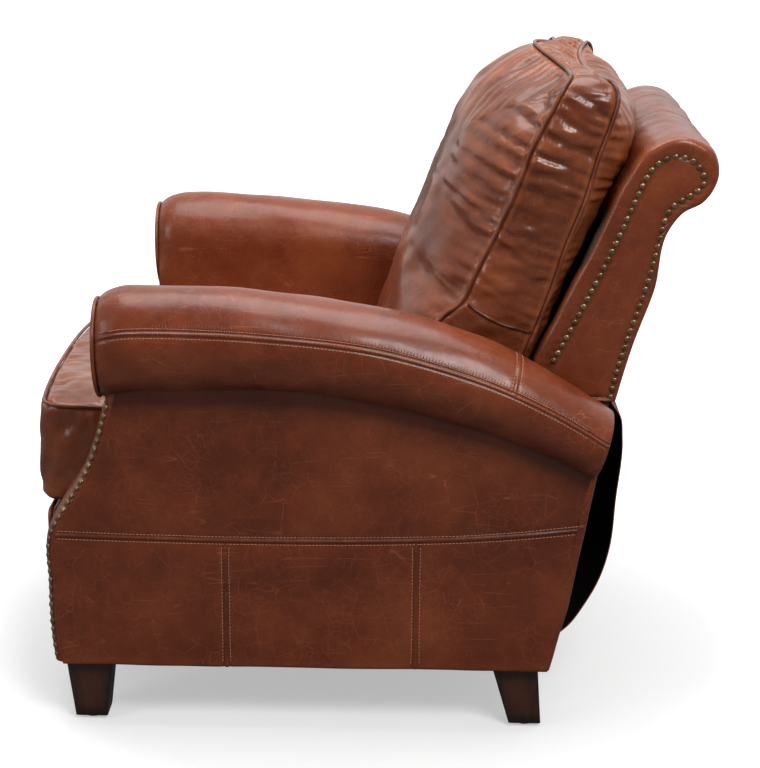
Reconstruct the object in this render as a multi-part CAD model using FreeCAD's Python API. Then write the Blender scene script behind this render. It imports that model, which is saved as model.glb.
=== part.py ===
import FreeCAD, Part
import math
import os

# Push-back recliner armchair, millimetres.
# The floor is z = 0, the chair faces -Y, and the occupant's left side is +X.
# Mechanism points are (forward, up) pairs: forward is -Y.

Vector = FreeCAD.Vector

# ---- overall size -------------------------------------------------------------
UNDERSIDE_Z = 100.0
OUTER_PANEL_X = 392.0
COVER_THICKNESS = 12.0
INNER_ARM_X = 276.0
ARM_ROLL_X = 349.0
ARM_ROLL_HALF_WIDTH = 73.0
BACK_HALF_WIDTH = 270.0
CUSHION_HALF_WIDTH = 264.0
SEAT_FRONT = 505.0
SEAT_REAR = -88.0
SEAT_TOP_FRONT_Z = 472.0
SEAT_TOP_REAR_Z = 454.0
SEAT_BOTTOM_Z = 304.0
SCROLL_RADIUS = 54.0
SCROLL_CENTRE = (-450.5, 828.0)
BACK_CUSHION_TOP_Z = 986.0

# ---- wooden frame -------------------------------------------------------------
FRAME_BOTTOM_Z = 104.0
PLY_X = (300.0, 320.0)
MECHANISM_RAIL_X = 275.3
MECHANISM_RAIL_TOP_Z = 312.0
BACK_FRAME_X = (246.0, 266.0)

# ---- recline mechanism --------------------------------------------------------
# Layers of flat steel on the +X side, from the outside in.
BASE_PLATE_X = (271.0, 275.0)
SWING_X = (266.5, 269.5)
OUTER_LINK_X = (262.0, 265.0)
MIDDLE_LINK_X = (257.5, 260.5)
SEAT_PLATE_X = (253.0, 256.0)
LINK_HALF_WIDTH = 9.0
PIN_RADIUS = 4.0
RUNNING_CLEARANCE = 0.05
OPEN_PIVOT_CLEARANCE = 0.6
HEAD_RADIUS = 7.0
HEAD_THICKNESS = 1.3

LEVER_LENGTH = 100.0
LEVER_ANGLE = -95.0
CRANK_LENGTH = 118.0
CRANK_ANGLE = -102.0
TAIL_LENGTH = 40.0
TAIL_ANGLE = -92.0


def polar(start, length, angle):
    """Point at a distance and an angle from start, in the (forward, up) plane."""
    turn = math.radians(angle)
    return (start[0] + length * math.cos(turn), start[1] + length * math.sin(turn))


BACK_PIVOT = (-190.0, 292.0)
LEVER_END = polar(BACK_PIVOT, LEVER_LENGTH, LEVER_ANGLE)
SWING_SEAT_PIVOT = (170.0, 188.0)
SWING_BASE_PIVOT = polar(SWING_SEAT_PIVOT, -LEVER_LENGTH, LEVER_ANGLE)
SWING_ARM_END = (295.0, 198.8)
REAR_CRANK_PIVOT = (350.0, 250.0)
FRONT_CRANK_PIVOT = polar(REAR_CRANK_PIVOT, 62.0, 30.0)
DRIVE_PIN = (372.7, 242.1)
REAR_CRANK_END = polar(REAR_CRANK_PIVOT, CRANK_LENGTH, CRANK_ANGLE)
FRONT_CRANK_END = polar(FRONT_CRANK_PIVOT, CRANK_LENGTH, CRANK_ANGLE)
FRONT_CRANK_TAIL = polar(FRONT_CRANK_END, TAIL_LENGTH, TAIL_ANGLE)
FOOTREST_PIVOT = (440.0, 272.0)
FOOTREST_TAIL = polar(FOOTREST_PIVOT, TAIL_LENGTH, TAIL_ANGLE)

# ---- footrest -----------------------------------------------------------------
FOOTREST_BOTTOM_Z = 105.0
FOOTREST_TOP_Z = 299.0
FOOTREST_BOARD = (452.3, 467.0)
FOOTREST_PAD_FRONT = 497.0
FOOTREST_HALF_WIDTH = 262.0

# ---- trim ---------------------------------------------------------------------
NAIL_RADIUS = 7.0
NAIL_EDGE_ANGLE = 45.0
NAIL_PITCH = 12.5
NAIL_CLEARANCE = 0.2                  # flat head edge over the curved leather
FACING_X = (281.0, 391.5)
FACING_THICKNESS = 12.0
NAIL_INSET = 7.5


def point(forward_up, x):
    """Space point for a (forward, up) pair at the given x."""
    return Vector(x, -forward_up[0], forward_up[1])


def prism(outline, x_low, x_high):
    """Solid with a straight-sided outline of (forward, up) points, from x_low to x_high."""
    corners = [point(corner, x_low) for corner in outline]
    face = Part.Face(Part.makePolygon(corners + corners[:1]))
    return face.extrude(Vector(x_high - x_low, 0, 0))


def curve(points, x):
    """Smooth curve through (forward, up) points."""
    spline = Part.BSplineCurve()
    spline.interpolate([point(place, x) for place in points])
    return spline.toShape()


def box(low, high):
    """Block between two corners."""
    size = [high[axis] - low[axis] for axis in range(3)]
    return Part.makeBox(*size, Vector(*low))


def disc(centre, radius, x_low, x_high):
    """Round bar along X."""
    return Part.makeCylinder(radius, x_high - x_low, point(centre, x_low), Vector(1, 0, 0))


def bar(start, end, half_width, layer):
    """Flat bar with round ends between two pivots."""
    run = (end[0] - start[0], end[1] - start[1])
    length = math.hypot(*run)
    side = (-run[1] / length * half_width, run[0] / length * half_width)
    outline = [
        (start[0] + side[0], start[1] + side[1]),
        (end[0] + side[0], end[1] + side[1]),
        (end[0] - side[0], end[1] - side[1]),
        (start[0] - side[0], start[1] - side[1]),
    ]
    body = prism(outline, *layer)
    for centre in (start, end):
        body = body.fuse(disc(centre, half_width, *layer))
    return body


def bar_chain(pivots, half_width, layer):
    """Flat link that bends at each inner pivot."""
    body = bar(pivots[0], pivots[1], half_width, layer)
    for start, end in zip(pivots[1:], pivots[2:]):
        body = body.fuse(bar(start, end, half_width, layer))
    return body.removeSplitter()


def drill(body, centre, radius, layer):
    """Body with a round hole along X through one layer."""
    return body.cut(disc(centre, radius, layer[0] - 1.0, layer[1] + 1.0))


def mirrored(shape):
    """The same piece on the other side of the chair."""
    return shape.mirror(Vector(0, 0, 0), Vector(1, 0, 0))


def both_sides(shapes):
    """Pieces of the +X side and their mirror images, as separate solids."""
    return Part.makeCompound(shapes + [mirrored(shape) for shape in shapes])


def save(name, shape):
    """Write one node."""
    shape.exportStep(f"parts/{name}.step")


def save_sides(name, shape):
    """Write a piece of the +X side and its mirror image as two nodes."""
    save(f"left_{name}", shape)
    save(f"right_{name}", mirrored(shape))


# ---- arms and sides -----------------------------------------------------------

# Front edge of the arm facing: an S from the floor end up under the roll.
FACING_CURVE = [
    (461.0, UNDERSIDE_Z + 2.0),
    (466.5, 155.0),
    (467.5, 231.0),
    (465.5, 306.0),
    (444.0, 347.0),
    (409.5, 405.0),
    (382.5, 484.0),
    (375.0, 512.0),
]
# Rear edge of the side cover, from the top down.
REAR_EDGE = [(-352.0, 505.0), (-338.0, 424.0), (-320.0, 325.0), (-304.0, 230.0), (-274.0, 100.0)]
# Arm roll sections: forward, centre height, half height.
ROLL_SECTIONS = [
    (384.0, 591.0, 80.0),
    (200.0, 590.0, 79.0),
    (20.0, 578.0, 73.0),
    (-120.0, 547.0, 70.0),
    (-250.0, 496.0, 64.0),
    (-350.0, 437.0, 59.0),
]
ROLL_RING_POINTS = 16


def arm_roll():
    """Padded roll along the top of the arm, tapering and falling to the rear."""
    wires = []
    for forward, centre_z, half_height in ROLL_SECTIONS:
        ring = []
        for step in range(ROLL_RING_POINTS):
            turn = 2.0 * math.pi * step / ROLL_RING_POINTS
            x = ARM_ROLL_X + ARM_ROLL_HALF_WIDTH * math.cos(turn)
            ring.append(Vector(x, -forward, centre_z + half_height * math.sin(turn)))
        spline = Part.BSplineCurve()
        spline.interpolate(ring, PeriodicFlag=True)
        wires.append(Part.Wire(spline.toShape()))
    return Part.makeLoft(wires, True, False)


def s_strip(shift, thickness, x_low, x_high):
    """Strip that follows the facing curve, set back by shift."""
    front = curve([(forward - shift, up) for forward, up in FACING_CURVE], x_low)
    rear = curve([(forward - shift - thickness, up) for forward, up in FACING_CURVE], x_low)
    ends = [
        Part.makeLine(front.Vertexes[index].Point, rear.Vertexes[index].Point) for index in (0, 1)
    ]
    face = Part.Face(Part.Wire([front, ends[1], rear.reversed(), ends[0]]))
    return face.extrude(Vector(x_high - x_low, 0, 0))


def side_region(front_shift, top_z, x_low, x_high, rear_inset=0.0):
    """Side outline between the facing and the rear edge, filled from x_low to x_high."""
    front = curve([(forward - front_shift, up) for forward, up in FACING_CURVE], x_low)
    start = front.Vertexes[0].Point
    end = front.Vertexes[1].Point
    rear = [point((forward + rear_inset, up), x_low) for forward, up in REAR_EDGE]
    rear[-1].z = start.z
    rear = [Vector(x_low, end.y, top_z), Vector(x_low, rear[0].y, top_z)] + rear
    line = Part.makePolygon([end] + rear + [start])
    return Part.Face(Part.Wire([front] + line.Edges)).extrude(Vector(x_high - x_low, 0, 0))


def lowest(shape):
    """The lowest separate solid of a shape."""
    return min(shape.Solids, key=lambda solid: solid.CenterOfMass.z)


def side_cover(roll):
    """Outside panel of the arm, wrapped round the rear edge."""
    set_back = FACING_THICKNESS + 0.3
    whole = side_region(set_back, 560.0, INNER_ARM_X, OUTER_PANEL_X)
    inside = side_region(
        set_back - 40.0, 600.0, INNER_ARM_X - 1.0, OUTER_PANEL_X - COVER_THICKNESS, COVER_THICKNESS
    )
    floor_gap = box((INNER_ARM_X - 1.0, -700.0, 0.0), (379.9, 600.0, 103.0))
    return lowest(whole.cut(inside).cut(floor_gap).cut(roll))


def side_frame(roll):
    """Plywood side with the thick rail that carries the mechanism."""
    panel = side_region(FACING_THICKNESS + 0.6, 540.0, *PLY_X, rear_inset=COVER_THICKNESS + 0.3)
    for bottom, top in ((FRAME_BOTTOM_Z, 170.0), (250.0, MECHANISM_RAIL_TOP_Z)):
        panel = panel.fuse(box((MECHANISM_RAIL_X, -430.0, bottom), (PLY_X[0], 262.0, top)))
    below = box((200.0, -700.0, 0.0), (420.0, 700.0, FRAME_BOTTOM_Z))
    return lowest(panel.removeSplitter().cut(below).cut(roll))


def inner_arm_pad(roll):
    """Padding on the seat side of the arm, above the mechanism rail."""
    pad = side_region(FACING_THICKNESS + 0.6, 600.0, INNER_ARM_X, PLY_X[0] - 0.3, 13.0)
    below = box((200.0, -700.0, 0.0), (420.0, 700.0, MECHANISM_RAIL_TOP_Z + 0.5))
    return lowest(pad.cut(below).cut(roll))


def nail(centre, direction):
    """Domed nail head."""
    sphere = Part.makeSphere(
        NAIL_RADIUS, Vector(0, 0, 0), Vector(0, 0, 1), NAIL_EDGE_ANGLE, 90.0, 360.0
    )
    sphere.translate(Vector(0, 0, -NAIL_RADIUS * math.sin(math.radians(NAIL_EDGE_ANGLE))))
    turn = FreeCAD.Rotation(Vector(0, 0, 1), direction)
    sphere.Placement = FreeCAD.Placement(centre, turn).multiply(sphere.Placement)
    return sphere


def facing_nails():
    """Rows of nail heads down both edges of the arm facing."""
    nails = []
    line = curve(FACING_CURVE, 0.0)
    count = int(line.Length / NAIL_PITCH)
    for place in line.discretize(Number=count)[1:-1]:
        parameter = line.Curve.parameter(place)
        along = line.tangentAt(parameter)
        outward = along.cross(Vector(1, 0, 0))
        if outward.y > 0:
            outward = -outward
        for x in (FACING_X[0] + NAIL_INSET, FACING_X[1] - NAIL_INSET):
            nails.append(nail(Vector(x, place.y, place.z) + outward * NAIL_CLEARANCE, outward))
    return nails


def corner_block(forward):
    """Block in the corner of the side unit that a leg bolts to."""
    top_z = FRAME_BOTTOM_Z + 56.0
    return box((PLY_X[1] + 0.2, -forward - 34.0, FRAME_BOTTOM_Z), (379.5, -forward + 34.0, top_z))


LEG_X = (310.0, 372.0)
LEG_TOP_Z = FRAME_BOTTOM_Z
LEG_BOTTOM_Z = 4.0
LEG_TAPER = 11.0
FRONT_LEG_FORWARD = 413.0
REAR_LEG_FORWARD = -224.0
REAR_LEG_SPLAY = 18.0


def leg(forward, splay):
    """Square tapered leg; splay moves its foot to the rear."""
    half_top = (LEG_X[1] - LEG_X[0]) / 2 + 4.0
    half_foot = half_top - LEG_TAPER
    centre_x = (LEG_X[0] + LEG_X[1]) / 2
    rings = []
    for half, z, shift in ((half_top, LEG_TOP_Z, 0.0), (half_foot, LEG_BOTTOM_Z, splay)):
        y = -forward + shift
        corners = [
            Vector(centre_x - half, y - half, z),
            Vector(centre_x + half, y - half, z),
            Vector(centre_x + half, y + half, z),
            Vector(centre_x - half, y + half, z),
        ]
        rings.append(Part.makePolygon(corners + corners[:1]))
    return Part.makeLoft(rings, True, True)


def glide(forward, splay):
    """Plastic glide under a leg."""
    centre_x = (LEG_X[0] + LEG_X[1]) / 2
    return Part.makeCylinder(15.0, LEG_BOTTOM_Z, Vector(centre_x, -forward + splay, 0))


def leg_bolt(forward):
    """Bolt from the corner block down into the leg."""
    centre_x = (LEG_X[0] + LEG_X[1]) / 2
    return Part.makeCylinder(4.0, 70.0, Vector(centre_x, -forward, FRAME_BOTTOM_Z - 30.0))


def build_sides():
    """Everything of the two side units."""
    roll = arm_roll()
    save_sides("arm_roll", roll)
    save_sides("side_cover", side_cover(roll))
    save_sides("side_frame", side_frame(roll))
    save_sides("inner_arm_pad", inner_arm_pad(roll))
    facing = lowest(s_strip(0.0, FACING_THICKNESS, *FACING_X).cut(roll))
    save_sides("arm_facing", facing)
    save("facing_nails", both_sides(facing_nails()))
    save("corner_blocks", both_sides(drilled_blocks()))
    save_legs()


LEG_PLACES = (("front", FRONT_LEG_FORWARD, 0.0), ("rear", REAR_LEG_FORWARD, REAR_LEG_SPLAY))


def drilled_blocks():
    """Corner blocks with the leg bolt holes."""
    return [corner_block(forward).cut(leg_bolt(forward)) for _, forward, _ in LEG_PLACES]


def save_legs():
    """Legs, their glides and their bolts."""
    for name, forward, splay in LEG_PLACES:
        save_sides(f"{name}_leg", leg(forward, splay).cut(leg_bolt(forward)))
    save("leg_glides", both_sides([glide(forward, splay) for _, forward, splay in LEG_PLACES]))
    save("leg_bolts", both_sides([leg_bolt(forward) for _, forward, _ in LEG_PLACES]))


# ---- base ---------------------------------------------------------------------

BASE_PLATE_Z = (272.0, 308.0)
BASE_BOLT_FORWARDS = (-120.0, 0.0, 110.0)
# Flap behind the seat, from the back's lower edge down to the base.
FLAP_CURVE = [
    (-364.0, 479.0),
    (-376.0, 462.0),
    (-380.0, 430.0),
    (-378.0, 331.0),
    (-372.0, 236.0),
    (-356.5, 185.0),
    (-334.5, 143.0),
    (-300.0, 108.0),
    (-278.0, 101.5),
]
FLAP_THICKNESS = 2.5


def base_plate():
    """Steel bar that the back and the seat hang from."""
    plate = box(
        (BASE_PLATE_X[0], -205.0, BASE_PLATE_Z[0]), (BASE_PLATE_X[1], 212.0, BASE_PLATE_Z[1])
    )
    for centre in (BACK_PIVOT, SWING_BASE_PIVOT):
        plate = drill(plate, centre, PIN_RADIUS + 1.0, BASE_PLATE_X)
    for forward in BASE_BOLT_FORWARDS:
        plate = drill(plate, (forward, 290.0), 3.0, BASE_PLATE_X)
    return plate


def base_pin(centre):
    """Shouldered pin fixed in the base plate, with a head on the inside."""
    shank = disc(centre, PIN_RADIUS + 1.0, SWING_X[0], BASE_PLATE_X[1])
    head = disc(centre, HEAD_RADIUS + 1.0, SWING_X[0] - HEAD_THICKNESS, SWING_X[0] - 0.1)
    neck = disc(centre, PIN_RADIUS + 1.0, SWING_X[0] - HEAD_THICKNESS, SWING_X[0])
    return shank.fuse(neck).fuse(head).removeSplitter()


def base_bolt(forward):
    """Low-headed bolt through the base plate into the mechanism rail."""
    centre = (forward, 290.0)
    shank = disc(centre, 3.0, BASE_PLATE_X[0], BASE_PLATE_X[1] + 0.3)
    head = disc(centre, 6.0, BASE_PLATE_X[0] - 1.2, BASE_PLATE_X[0])
    return shank.fuse(head).removeSplitter()


def ribbon(points, thickness, x_low, x_high):
    """Thin sheet that follows a curve, thick towards the front."""
    outer = curve(points, x_low)
    inner = curve([(forward + thickness, up) for forward, up in points], x_low)
    ends = [
        Part.makeLine(outer.Vertexes[index].Point, inner.Vertexes[index].Point) for index in (0, 1)
    ]
    face = Part.Face(Part.Wire([outer, ends[1], inner.reversed(), ends[0]]))
    return face.extrude(Vector(x_high - x_low, 0, 0))


def cross_rail(forward_low, forward_high, z_low, z_high, half_length):
    """Wooden rail across the chair."""
    return box((-half_length, -forward_high, z_low), (half_length, -forward_low, z_high))


def build_base():
    """Cross rails, flap and the fixed part of the mechanism."""
    reach = MECHANISM_RAIL_X - 0.2
    save("base_front_rail", cross_rail(262.0, 288.0, FRAME_BOTTOM_Z, 150.0, reach))
    save("base_rear_rail", cross_rail(-262.0, -238.0, FRAME_BOTTOM_Z, 165.0, reach))
    save("rear_flap", ribbon(FLAP_CURVE, FLAP_THICKNESS, -BACK_HALF_WIDTH, BACK_HALF_WIDTH))
    save("base_plates", both_sides([base_plate()]))
    save("base_pivot_pins", both_sides([base_pin(BACK_PIVOT), base_pin(SWING_BASE_PIVOT)]))
    save("base_bolts", both_sides([base_bolt(forward) for forward in BASE_BOLT_FORWARDS]))


# ---- back ---------------------------------------------------------------------

BACK_FRAME = [
    (-172.0, 345.0),
    (-262.0, 571.0),
    (-330.0, 735.0),
    (-388.0, 850.0),
    (-425.0, 850.0),
    (-434.0, 767.0),
    (-409.0, 657.0),
    (-377.0, 557.0),
    (-356.0, 470.0),
    (-330.0, 345.0),
]
SIDE_WEDGE = [
    (-222.0, 482.0),
    (-256.0, 571.0),
    (-336.0, 738.0),
    (-394.0, 862.0),
    (-450.0, 830.0),
    (-438.0, 752.0),
    (-405.0, 618.0),
    (-368.0, 482.0),
]
# Rear face of the back, from the bottom up.
BACK_REAR_LINE = [(-365.5, 482.0), (-390.0, 573.0), (-419.0, 660.0), (-438.0, 752.0)]
CUSHION_FRONT_CURVE = [
    (6.0, 476.0),
    (-24.0, 561.0),
    (-58.0, 660.0),
    (-88.0, 741.0),
    (-118.5, 821.0),
    (-148.0, 892.0),
    (-179.0, 940.0),
    (-216.0, 973.0),
    (-262.0, BACK_CUSHION_TOP_Z),
]
CUSHION_REAR = [(-325.0, 974.0), (-366.0, 930.0), (-381.0, 858.0), (-249.0, 571.0), (-212.0, 476.0)]
# Nails on the side of the back: up the front, round the scroll and down the rear.
BACK_NAIL_CURVE = [
    (-274.0, 547.0),
    (-304.0, 607.0),
    (-338.0, 678.0),
    (-370.5, 753.0),
    (-392.0, 806.0),
    (-412.0, 840.0),
    (-445.0, 853.0),
    (-474.0, 838.0),
    (-482.0, 815.0),
    (-462.0, 796.0),
    (-436.0, 777.0),
    (-425.0, 745.0),
    (-405.0, 657.0),
    (-379.0, 573.0),
    (-360.0, 492.0),
]


def scroll():
    """Rolled top of the back."""
    return disc(SCROLL_CENTRE, SCROLL_RADIUS, -BACK_HALF_WIDTH + 4.0, BACK_HALF_WIDTH - 4.0)


def scroll_gap():
    """Room kept round the scroll."""
    return disc(SCROLL_CENTRE, SCROLL_RADIUS + 0.2, -BACK_HALF_WIDTH, BACK_HALF_WIDTH)


def back_cushion():
    """Boxed back cushion with a crowned front."""
    front = curve(CUSHION_FRONT_CURVE, -CUSHION_HALF_WIDTH)
    corners = [point(corner, -CUSHION_HALF_WIDTH) for corner in CUSHION_REAR]
    line = Part.makePolygon([front.Vertexes[1].Point] + corners + [front.Vertexes[0].Point])
    face = Part.Face(Part.Wire([front] + line.Edges))
    return face.extrude(Vector(2 * CUSHION_HALF_WIDTH, 0, 0))


def back_lever():
    """Steel lever of the back: it turns on the base plate and pushes the seat."""
    bolts = [(-235.0, 372.0), (-292.0, 400.0), (-262.0, 430.0)]
    arm = bar(LEVER_END, BACK_PIVOT, 13.0, SWING_X)
    corners = [(-177.0, 292.0), (-203.0, 292.0), (-312.0, 372.0), (-322.0, 440.0), (-238.0, 440.0)]
    lever = arm.fuse(prism(corners, *SWING_X)).removeSplitter()
    lever = drill(lever, BACK_PIVOT, PIN_RADIUS + 1.0 + RUNNING_CLEARANCE, SWING_X)
    lever = drill(lever, LEVER_END, PIN_RADIUS + RUNNING_CLEARANCE, SWING_X)
    for centre in bolts:
        lever = drill(lever, centre, 3.0, SWING_X)
    fasteners = [disc(centre, 3.0, BACK_FRAME_X[1], SWING_X[1]) for centre in bolts]
    return lever, fasteners


def build_back():
    """Everything that reclines."""
    frame = prism(BACK_FRAME, *BACK_FRAME_X).cut(scroll_gap())
    save_sides("back_frame", frame)
    wedge = prism(SIDE_WEDGE, BACK_FRAME_X[1] + 0.4, BACK_HALF_WIDTH)
    cap = disc(SCROLL_CENTRE, SCROLL_RADIUS, BACK_FRAME_X[1] + 0.4, BACK_HALF_WIDTH)
    save_sides("back_side_cover", wedge.fuse(cap).removeSplitter())
    save("back_scroll", scroll())
    outside = ribbon(BACK_REAR_LINE, 5.0, -BACK_HALF_WIDTH + 4.0, BACK_HALF_WIDTH - 4.0)
    inside_frames = both_sides([frame])
    save("back_outside_panel", outside.cut(scroll_gap()).cut(inside_frames))
    reach = BACK_FRAME_X[0] - 0.2
    save("back_top_rail", cross_rail(-395.0, -376.0, 760.0, 815.0, reach))
    save("back_lower_rail", cross_rail(-305.0, -283.0, 350.0, 420.0, reach))
    save("back_webbing", Part.makeCompound([back_strap(index) for index in range(5)]))
    save("back_cushion", back_cushion())
    lever, fasteners = back_lever()
    save("back_levers", both_sides([lever]))
    save("back_lever_bolts", both_sides(fasteners))
    save("back_nails", both_sides(back_nails()))


def back_strap(index):
    """Elastic strap from the lower rail of the back to its top rail."""
    x = -180.0 + 90.0 * index
    front = [(-280.0, 352.0), (-280.0, 420.0), (-373.0, 762.0), (-373.0, 813.0)]
    outline = front + [(forward - 2.5, up) for forward, up in reversed(front)]
    return prism(outline, x - 25.0, x + 25.0)


def back_nails():
    """Nail heads round the edge of the back's side."""
    line = curve(BACK_NAIL_CURVE, BACK_HALF_WIDTH + 0.02)
    count = int(line.Length / (NAIL_PITCH + 0.3))
    return [nail(place, Vector(1, 0, 0)) for place in line.discretize(Number=count)]


# ---- seat ---------------------------------------------------------------------

SEAT_RAIL_X = (228.0, 252.8)
SEAT_RAIL_Z = (262.0, 296.0)
SEAT_FRAME_FORWARD = (-84.0, 422.0)


def seat_plate():
    """Pressed steel side of the seat, with all its pivots."""
    outline = [
        (-214.0, 180.0),
        (182.0, 176.0),
        (380.0, 232.0),
        (419.0, 264.0),
        (419.0, 294.0),
        (-84.0, 294.0),
        (-112.0, 206.0),
        (-214.0, 206.0),
    ]
    plate = prism(outline, *SEAT_PLATE_X)
    for centre in SEAT_PINS:
        plate = drill(plate, centre, PIN_RADIUS, SEAT_PLATE_X)
    return plate


SEAT_PINS = (LEVER_END, SWING_SEAT_PIVOT, REAR_CRANK_PIVOT, FRONT_CRANK_PIVOT)


def seat_pins():
    """Pins fixed in the seat plate; the two long ones have a spacer shoulder."""
    pins = []
    for centre in SEAT_PINS[:2]:
        shank = disc(centre, PIN_RADIUS, SEAT_PLATE_X[0], SWING_X[1])
        shoulder = disc(centre, HEAD_RADIUS, SEAT_PLATE_X[1], SWING_X[0] - 0.2)
        pins.append(shank.fuse(shoulder).removeSplitter())
    for centre in SEAT_PINS[2:]:
        pins.append(disc(centre, PIN_RADIUS, SEAT_PLATE_X[0], MIDDLE_LINK_X[1]))
    return pins


def seat_cushion():
    """Boxed seat cushion with softened front edges."""
    outline = [
        (SEAT_REAR, SEAT_BOTTOM_Z),
        (SEAT_FRONT - 22.0, SEAT_BOTTOM_Z),
        (SEAT_FRONT - 2.0, SEAT_BOTTOM_Z + 22.0),
        (SEAT_FRONT, 378.0),
        (SEAT_FRONT - 3.0, SEAT_TOP_FRONT_Z - 18.0),
        (SEAT_FRONT - 20.0, SEAT_TOP_FRONT_Z),
        (SEAT_REAR, SEAT_TOP_REAR_Z),
    ]
    return prism(outline, -CUSHION_HALF_WIDTH, CUSHION_HALF_WIDTH)


def build_seat():
    """Everything that slides forward with the seat."""
    save("seat_plates", both_sides([seat_plate()]))
    save("seat_pivot_pins", both_sides(seat_pins()))
    rear, front = SEAT_FRAME_FORWARD
    rail = box((SEAT_RAIL_X[0], -front, SEAT_RAIL_Z[0]), (SEAT_RAIL_X[1], -rear, SEAT_RAIL_Z[1]))
    save("seat_side_rails", both_sides([rail]))
    reach = SEAT_RAIL_X[0] - 0.2
    save("seat_front_rail", cross_rail(front - 30.0, front, *SEAT_RAIL_Z, reach))
    save("seat_rear_rail", cross_rail(rear, rear + 30.0, *SEAT_RAIL_Z, reach))
    straps = []
    for index in range(5):
        x = -160.0 + 80.0 * index
        straps.append(box((x - 28.0, -front + 4.0, 296.1), (x + 28.0, -rear - 4.0, 298.6)))
    save("seat_webbing", Part.makeCompound(straps))
    edge = SEAT_RAIL_X[1]
    save("seat_deck", box((-edge, -front + 4.0, 298.8), (edge, -rear - 4.0, 302.5)))
    save("seat_cushion", seat_cushion())


# ---- moving links -------------------------------------------------------------


def rivet(centre, x_low, x_high, head_low, head_high):
    """Rivet with a head outside x_low or x_high where asked for."""
    body = disc(centre, PIN_RADIUS, x_low, x_high)
    if head_low:
        body = body.fuse(disc(centre, HEAD_RADIUS, x_low - HEAD_THICKNESS, x_low))
    if head_high:
        body = body.fuse(disc(centre, HEAD_RADIUS, x_high, x_high + HEAD_THICKNESS))
    return body.removeSplitter()


def swing_link():
    """Bell crank: hangs the front of the seat and drives the footrest."""
    plate = bar_chain([SWING_BASE_PIVOT, SWING_SEAT_PIVOT, SWING_ARM_END], 11.0, SWING_X)
    web = prism([SWING_BASE_PIVOT, SWING_SEAT_PIVOT, polar(SWING_SEAT_PIVOT, 70.0, 5.0)], *SWING_X)
    plate = plate.fuse(web).removeSplitter()
    plate = drill(plate, SWING_BASE_PIVOT, PIN_RADIUS + 1.0 + RUNNING_CLEARANCE, SWING_X)
    plate = drill(plate, SWING_SEAT_PIVOT, PIN_RADIUS + RUNNING_CLEARANCE, SWING_X)
    return drill(plate, SWING_ARM_END, PIN_RADIUS, SWING_X)


def plain_link(pivots, layer, hole_radii):
    """Flat link with one hole per pivot."""
    link = bar_chain(pivots, LINK_HALF_WIDTH, layer)
    for centre, radius in zip(pivots, hole_radii):
        link = drill(link, centre, radius, layer)
    return link


def footrest_bracket():
    """Angle bracket on the rear of the footrest board."""
    web = [(430.0, 222.0), (452.0, 190.0), (452.0, 286.0), (430.0, 282.0)]
    bracket = prism(web, *MIDDLE_LINK_X)
    flange = box((234.0, -452.0, 180.0), (MIDDLE_LINK_X[1], -449.2, 286.0))
    bracket = bracket.fuse(flange).removeSplitter()
    for centre in (FOOTREST_PIVOT, FOOTREST_TAIL):
        bracket = drill(bracket, centre, PIN_RADIUS, MIDDLE_LINK_X)
    return bracket


def footrest_pad():
    """Padded front of the footrest with rounded edges."""
    pad = box(
        (-FOOTREST_HALF_WIDTH, -FOOTREST_PAD_FRONT, FOOTREST_BOTTOM_Z),
        (FOOTREST_HALF_WIDTH, -FOOTREST_BOARD[1] - 0.2, FOOTREST_TOP_Z),
    )
    front = [edge for edge in pad.Edges if edge.BoundBox.YMax < -FOOTREST_PAD_FRONT + 0.1]
    return pad.makeFillet(12.0, front)


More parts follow.
